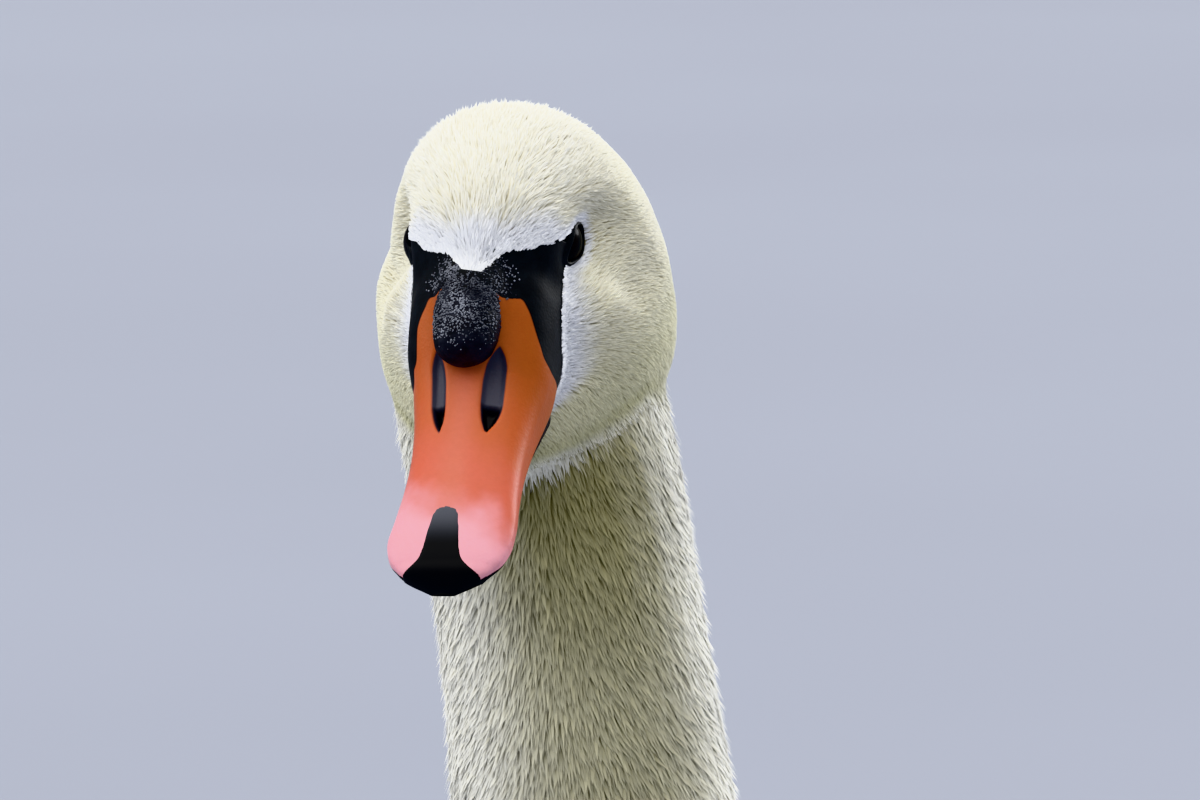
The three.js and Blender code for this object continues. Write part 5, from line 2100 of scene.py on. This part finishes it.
class SWAN_OT_feet(bpy.types.Operator):
    """Make the tucked legs, webbed feet and claws"""

    bl_idname = "swan.feet"
    bl_label = "Feet"

    VOXEL = 0.9

    def execute(self, context):
        props = context.scene.swan_bare
        skin = foot_material(props)
        horn = dark_skin_material(
            "Black claw horn", linear("#101011"), linear("#2a2a2b"), 0.38, 0.2, 600.0
        )
        for name, side in SIDES:
            foot = Field(["leg_" + name, "foot_" + name], self.VOXEL, 0.85)
            values = foot.values - 0.2
            height = (foot.first[2] + np.arange(values.shape[2])) * foot.voxel
            values = np.maximum(values, (0.15 - height)[None, None, :])
            points, quads = zero_mesh(values, foot.voxel, foot.first)
            points = self.scuted(points, name, side)
            piece = make_mesh("webbed_foot_" + name, points, quads)
            finish_piece(piece, skin, "leg_" + name, "foot_" + name, slot="leg_skin")
            self.claws(name, side, horn)
        return {"FINISHED"}

    def toes(self, name, side):
        """Root of the toes and each toe's tip, on the floor plan."""
        low = corner("foot_" + name, False)
        leg_low = corner("leg_" + name, False)
        root = np.array([centre("foot_" + name)[0] - side * 1.8, leg_low[1] + 3.0])
        longest = root[1] - low[1]
        tips = []
        for turn, share in zip(TOE_TURNS, TOE_SHARES):
            angle = math.radians(turn)
            tips.append(root + longest * share * np.array([side * math.sin(angle), -math.cos(angle)]))
        return root, tips

    def scuted(self, points, name, side):
        """Raises the toes' joints and cuts fine cross lines into their tops."""
        root, tips = self.toes(name, side)
        plan = points[:, :2]
        rise = np.zeros(len(points))
        for tip in tips:
            line = tip - root
            long = np.linalg.norm(line)
            share = np.clip((plan - root) @ line / long**2, 0, 1)
            away = np.linalg.norm(plan - root - share[:, None] * line, axis=1)
            near = 1 - smooth(3.0, 5.5, away)
            run = share * long
            plates = np.abs(np.sin(math.pi * run / 3.2)) ** 0.4
            knuckles = np.exp(-(((share - 0.36) / 0.05) ** 2)) + np.exp(-(((share - 0.66) / 0.05) ** 2))
            rise = np.maximum(rise, near * (0.35 * plates + 0.8 * knuckles))
        top = smooth(1.5, 3.0, points[:, 2])
        points = points.copy()
        points[:, 2] += rise * top
        return points

    def claws(self, name, side, material):
        """A short curved claw at the end of each front toe."""
        root, tips = self.toes(name, side)
        rings, around = 12, 14
        all_points, all_faces = [], []
        for tip in tips:
            heading = unit(tip - root)
            beside = np.array([heading[1], -heading[0]])
            share = np.linspace(0, 1, rings)[:, None]
            turn = np.linspace(0, 2 * math.pi, around, endpoint=False)[None, :]
            radius = 2.3 * (1 - share) ** 0.6 + 0.12
            forward = -9.0 + 10.0 * share
            level = 3.6 - 2.6 * share**2 + 0.9 * np.sin(math.pi * share)
            across = np.cos(turn) * radius * 0.85
            up = level + np.sin(turn) * radius * 0.75
            x = tip[0] + heading[0] * forward + beside[0] * across
            y = tip[1] + heading[1] * forward + beside[1] * across
            points = np.stack([x, y, np.maximum(up, 0.15)], axis=-1).reshape(-1, 3)
            points, fans = capped(points, rings, around)
            start = sum(len(part) for part in all_points)
            all_points.append(points)
            all_faces.append((grid_faces(rings, around, True) + start, fans + start))
        claws = make_mesh(
            "claws_" + name,
            np.concatenate(all_points),
            np.concatenate([part[0] for part in all_faces]),
            np.concatenate([part[1] for part in all_faces]),
        )
        face_out(claws)
        finish_piece(claws, material, slot="leg_skin")


# ---- Stage ----


def soft_light(name, toward, strength, spread, tint):
    """A wide soft light that falls evenly on everything, from one side."""
    light = bpy.data.lights.new(name, "SUN")
    light.energy = strength
    light.angle = math.radians(spread)
    light.color = tint
    lamp = bpy.data.objects.new(name, light)
    lamp.location = Vector(toward) * 3
    lamp.rotation_euler = Vector(toward).to_track_quat("Z", "Y").to_euler()
    bpy.context.scene.collection.objects.link(lamp)


class SWAN_OT_stage(bpy.types.Operator):
    """Set up the floor, the soft light and the camera"""

    bl_idname = "swan.stage"
    bl_label = "Stage"

    AIM_ASIDE = 28.1
    AIM_DOWN = 41.9
    HORIZON = 0.48
    ZENITH = 0.82

    def execute(self, context):
        props = context.scene.swan_stage
        half = 30000.0
        corners = np.array([[-half, -half, 0], [half, -half, 0], [half, half, 0], [-half, half, 0]])
        floor = make_mesh("floor", corners, np.array([[0, 1, 2, 3]]))
        floor.data.materials.append(plain_material("Matt pale floor", tuple(props.floor), 0.9))
        self.sky(context, props)
        self.lights()
        self.camera(context, props)
        context.scene.view_settings.view_transform = "Khronos PBR Neutral"
        return {"FINISHED"}

    def sky(self, context, props):
        world = bpy.data.worlds.new("Even sky")
        world.use_nodes = True
        world.node_tree.nodes.clear()
        tree = world.node_tree
        place = add(tree, "ShaderNodeTexCoord").outputs["Generated"]
        parts = add(tree, "ShaderNodeSeparateXYZ", {"Vector": place})
        strength = add(
            tree,
            "ShaderNodeMapRange",
            {"Value": parts.outputs["Z"], "To Min": self.HORIZON, "To Max": self.ZENITH},
        )
        light = add(tree, "ShaderNodeBackground", {"Color": colour(props.sky), "Strength": strength})
        add(tree, "ShaderNodeOutputWorld", {"Surface": light})
        context.scene.world = world

    def lights(self):
        soft_light("Overhead", (-0.2, -0.15, 1), 2.8, 75, (1, 0.985, 0.95))
        soft_light("Left side", (-0.85, 0.1, 0.45), 1.2, 40, (0.97, 0.98, 1))
        soft_light("Right rim", (0.85, 0.4, 0.4), 2.2, 30, (0.97, 0.98, 1))

    def camera(self, context, props):
        azimuth, elevation = props.azimuth, props.elevation
        back = Vector(
            (
                math.sin(azimuth) * math.cos(elevation),
                -math.cos(azimuth) * math.cos(elevation),
                math.sin(elevation),
            )
        )
        right = Vector((math.cos(azimuth), math.sin(azimuth), 0))
        up = back.cross(right)
        eyes = Vector(EYES * MM)
        aim = eyes + right * self.AIM_ASIDE * MM - up * self.AIM_DOWN * MM
        lens = bpy.data.cameras.new("Camera")
        lens.lens = props.lens
        lens.sensor_width = 36.0
        lens.clip_start = 0.05
        lens.clip_end = 200.0
        camera = bpy.data.objects.new("Camera", lens)
        camera.location = aim + back * props.distance
        camera.rotation_euler = back.to_track_quat("Z", "Y").to_euler()
        context.scene.collection.objects.link(camera)
        context.scene.camera = camera


# ---- Add-on ----

OPERATORS = (
    SWAN_OT_stage,
    SWAN_OT_skin,
    SWAN_OT_head_down,
    SWAN_OT_neck_down,
    SWAN_OT_body_feathers,
    SWAN_OT_wing_feathers,
    SWAN_OT_mantle_feathers,
    SWAN_OT_tail_feathers,
    SWAN_OT_bill,
    SWAN_OT_knob,
    SWAN_OT_eyes,
    SWAN_OT_feet,
)


class SWAN_PT_panel(bpy.types.Panel):
    """Shows the swan's sizes, colours and steps in the sidebar"""

    bl_idname = "SWAN_PT_panel"
    bl_label = "Mute Swan"
    bl_space_type = "VIEW_3D"
    bl_region_type = "UI"
    bl_category = "Swan"

    def draw(self, context):
        for group in (context.scene.swan_plumage, context.scene.swan_bare, context.scene.swan_stage):
            box = self.layout.box()
            for name in group.__annotations__:
                box.prop(group, name)
        for operator in OPERATORS:
            self.layout.operator(operator.bl_idname)


CLASSES = (SwanPlumage, SwanBare, SwanStage, *OPERATORS, SWAN_PT_panel)


def register():
    for each in CLASSES:
        bpy.utils.register_class(each)
    bpy.types.Scene.swan_plumage = bpy.props.PointerProperty(type=SwanPlumage)
    bpy.types.Scene.swan_bare = bpy.props.PointerProperty(type=SwanBare)
    bpy.types.Scene.swan_stage = bpy.props.PointerProperty(type=SwanStage)


def unregister():
    del bpy.types.Scene.swan_plumage
    del bpy.types.Scene.swan_bare
    del bpy.types.Scene.swan_stage
    for each in reversed(CLASSES):
        bpy.utils.unregister_class(each)


def main():
    register()
    for operator in OPERATORS:
        group, name = operator.bl_idname.split(".")
        getattr(getattr(bpy.ops, group), name)()


if __name__ == "__main__":
    main()
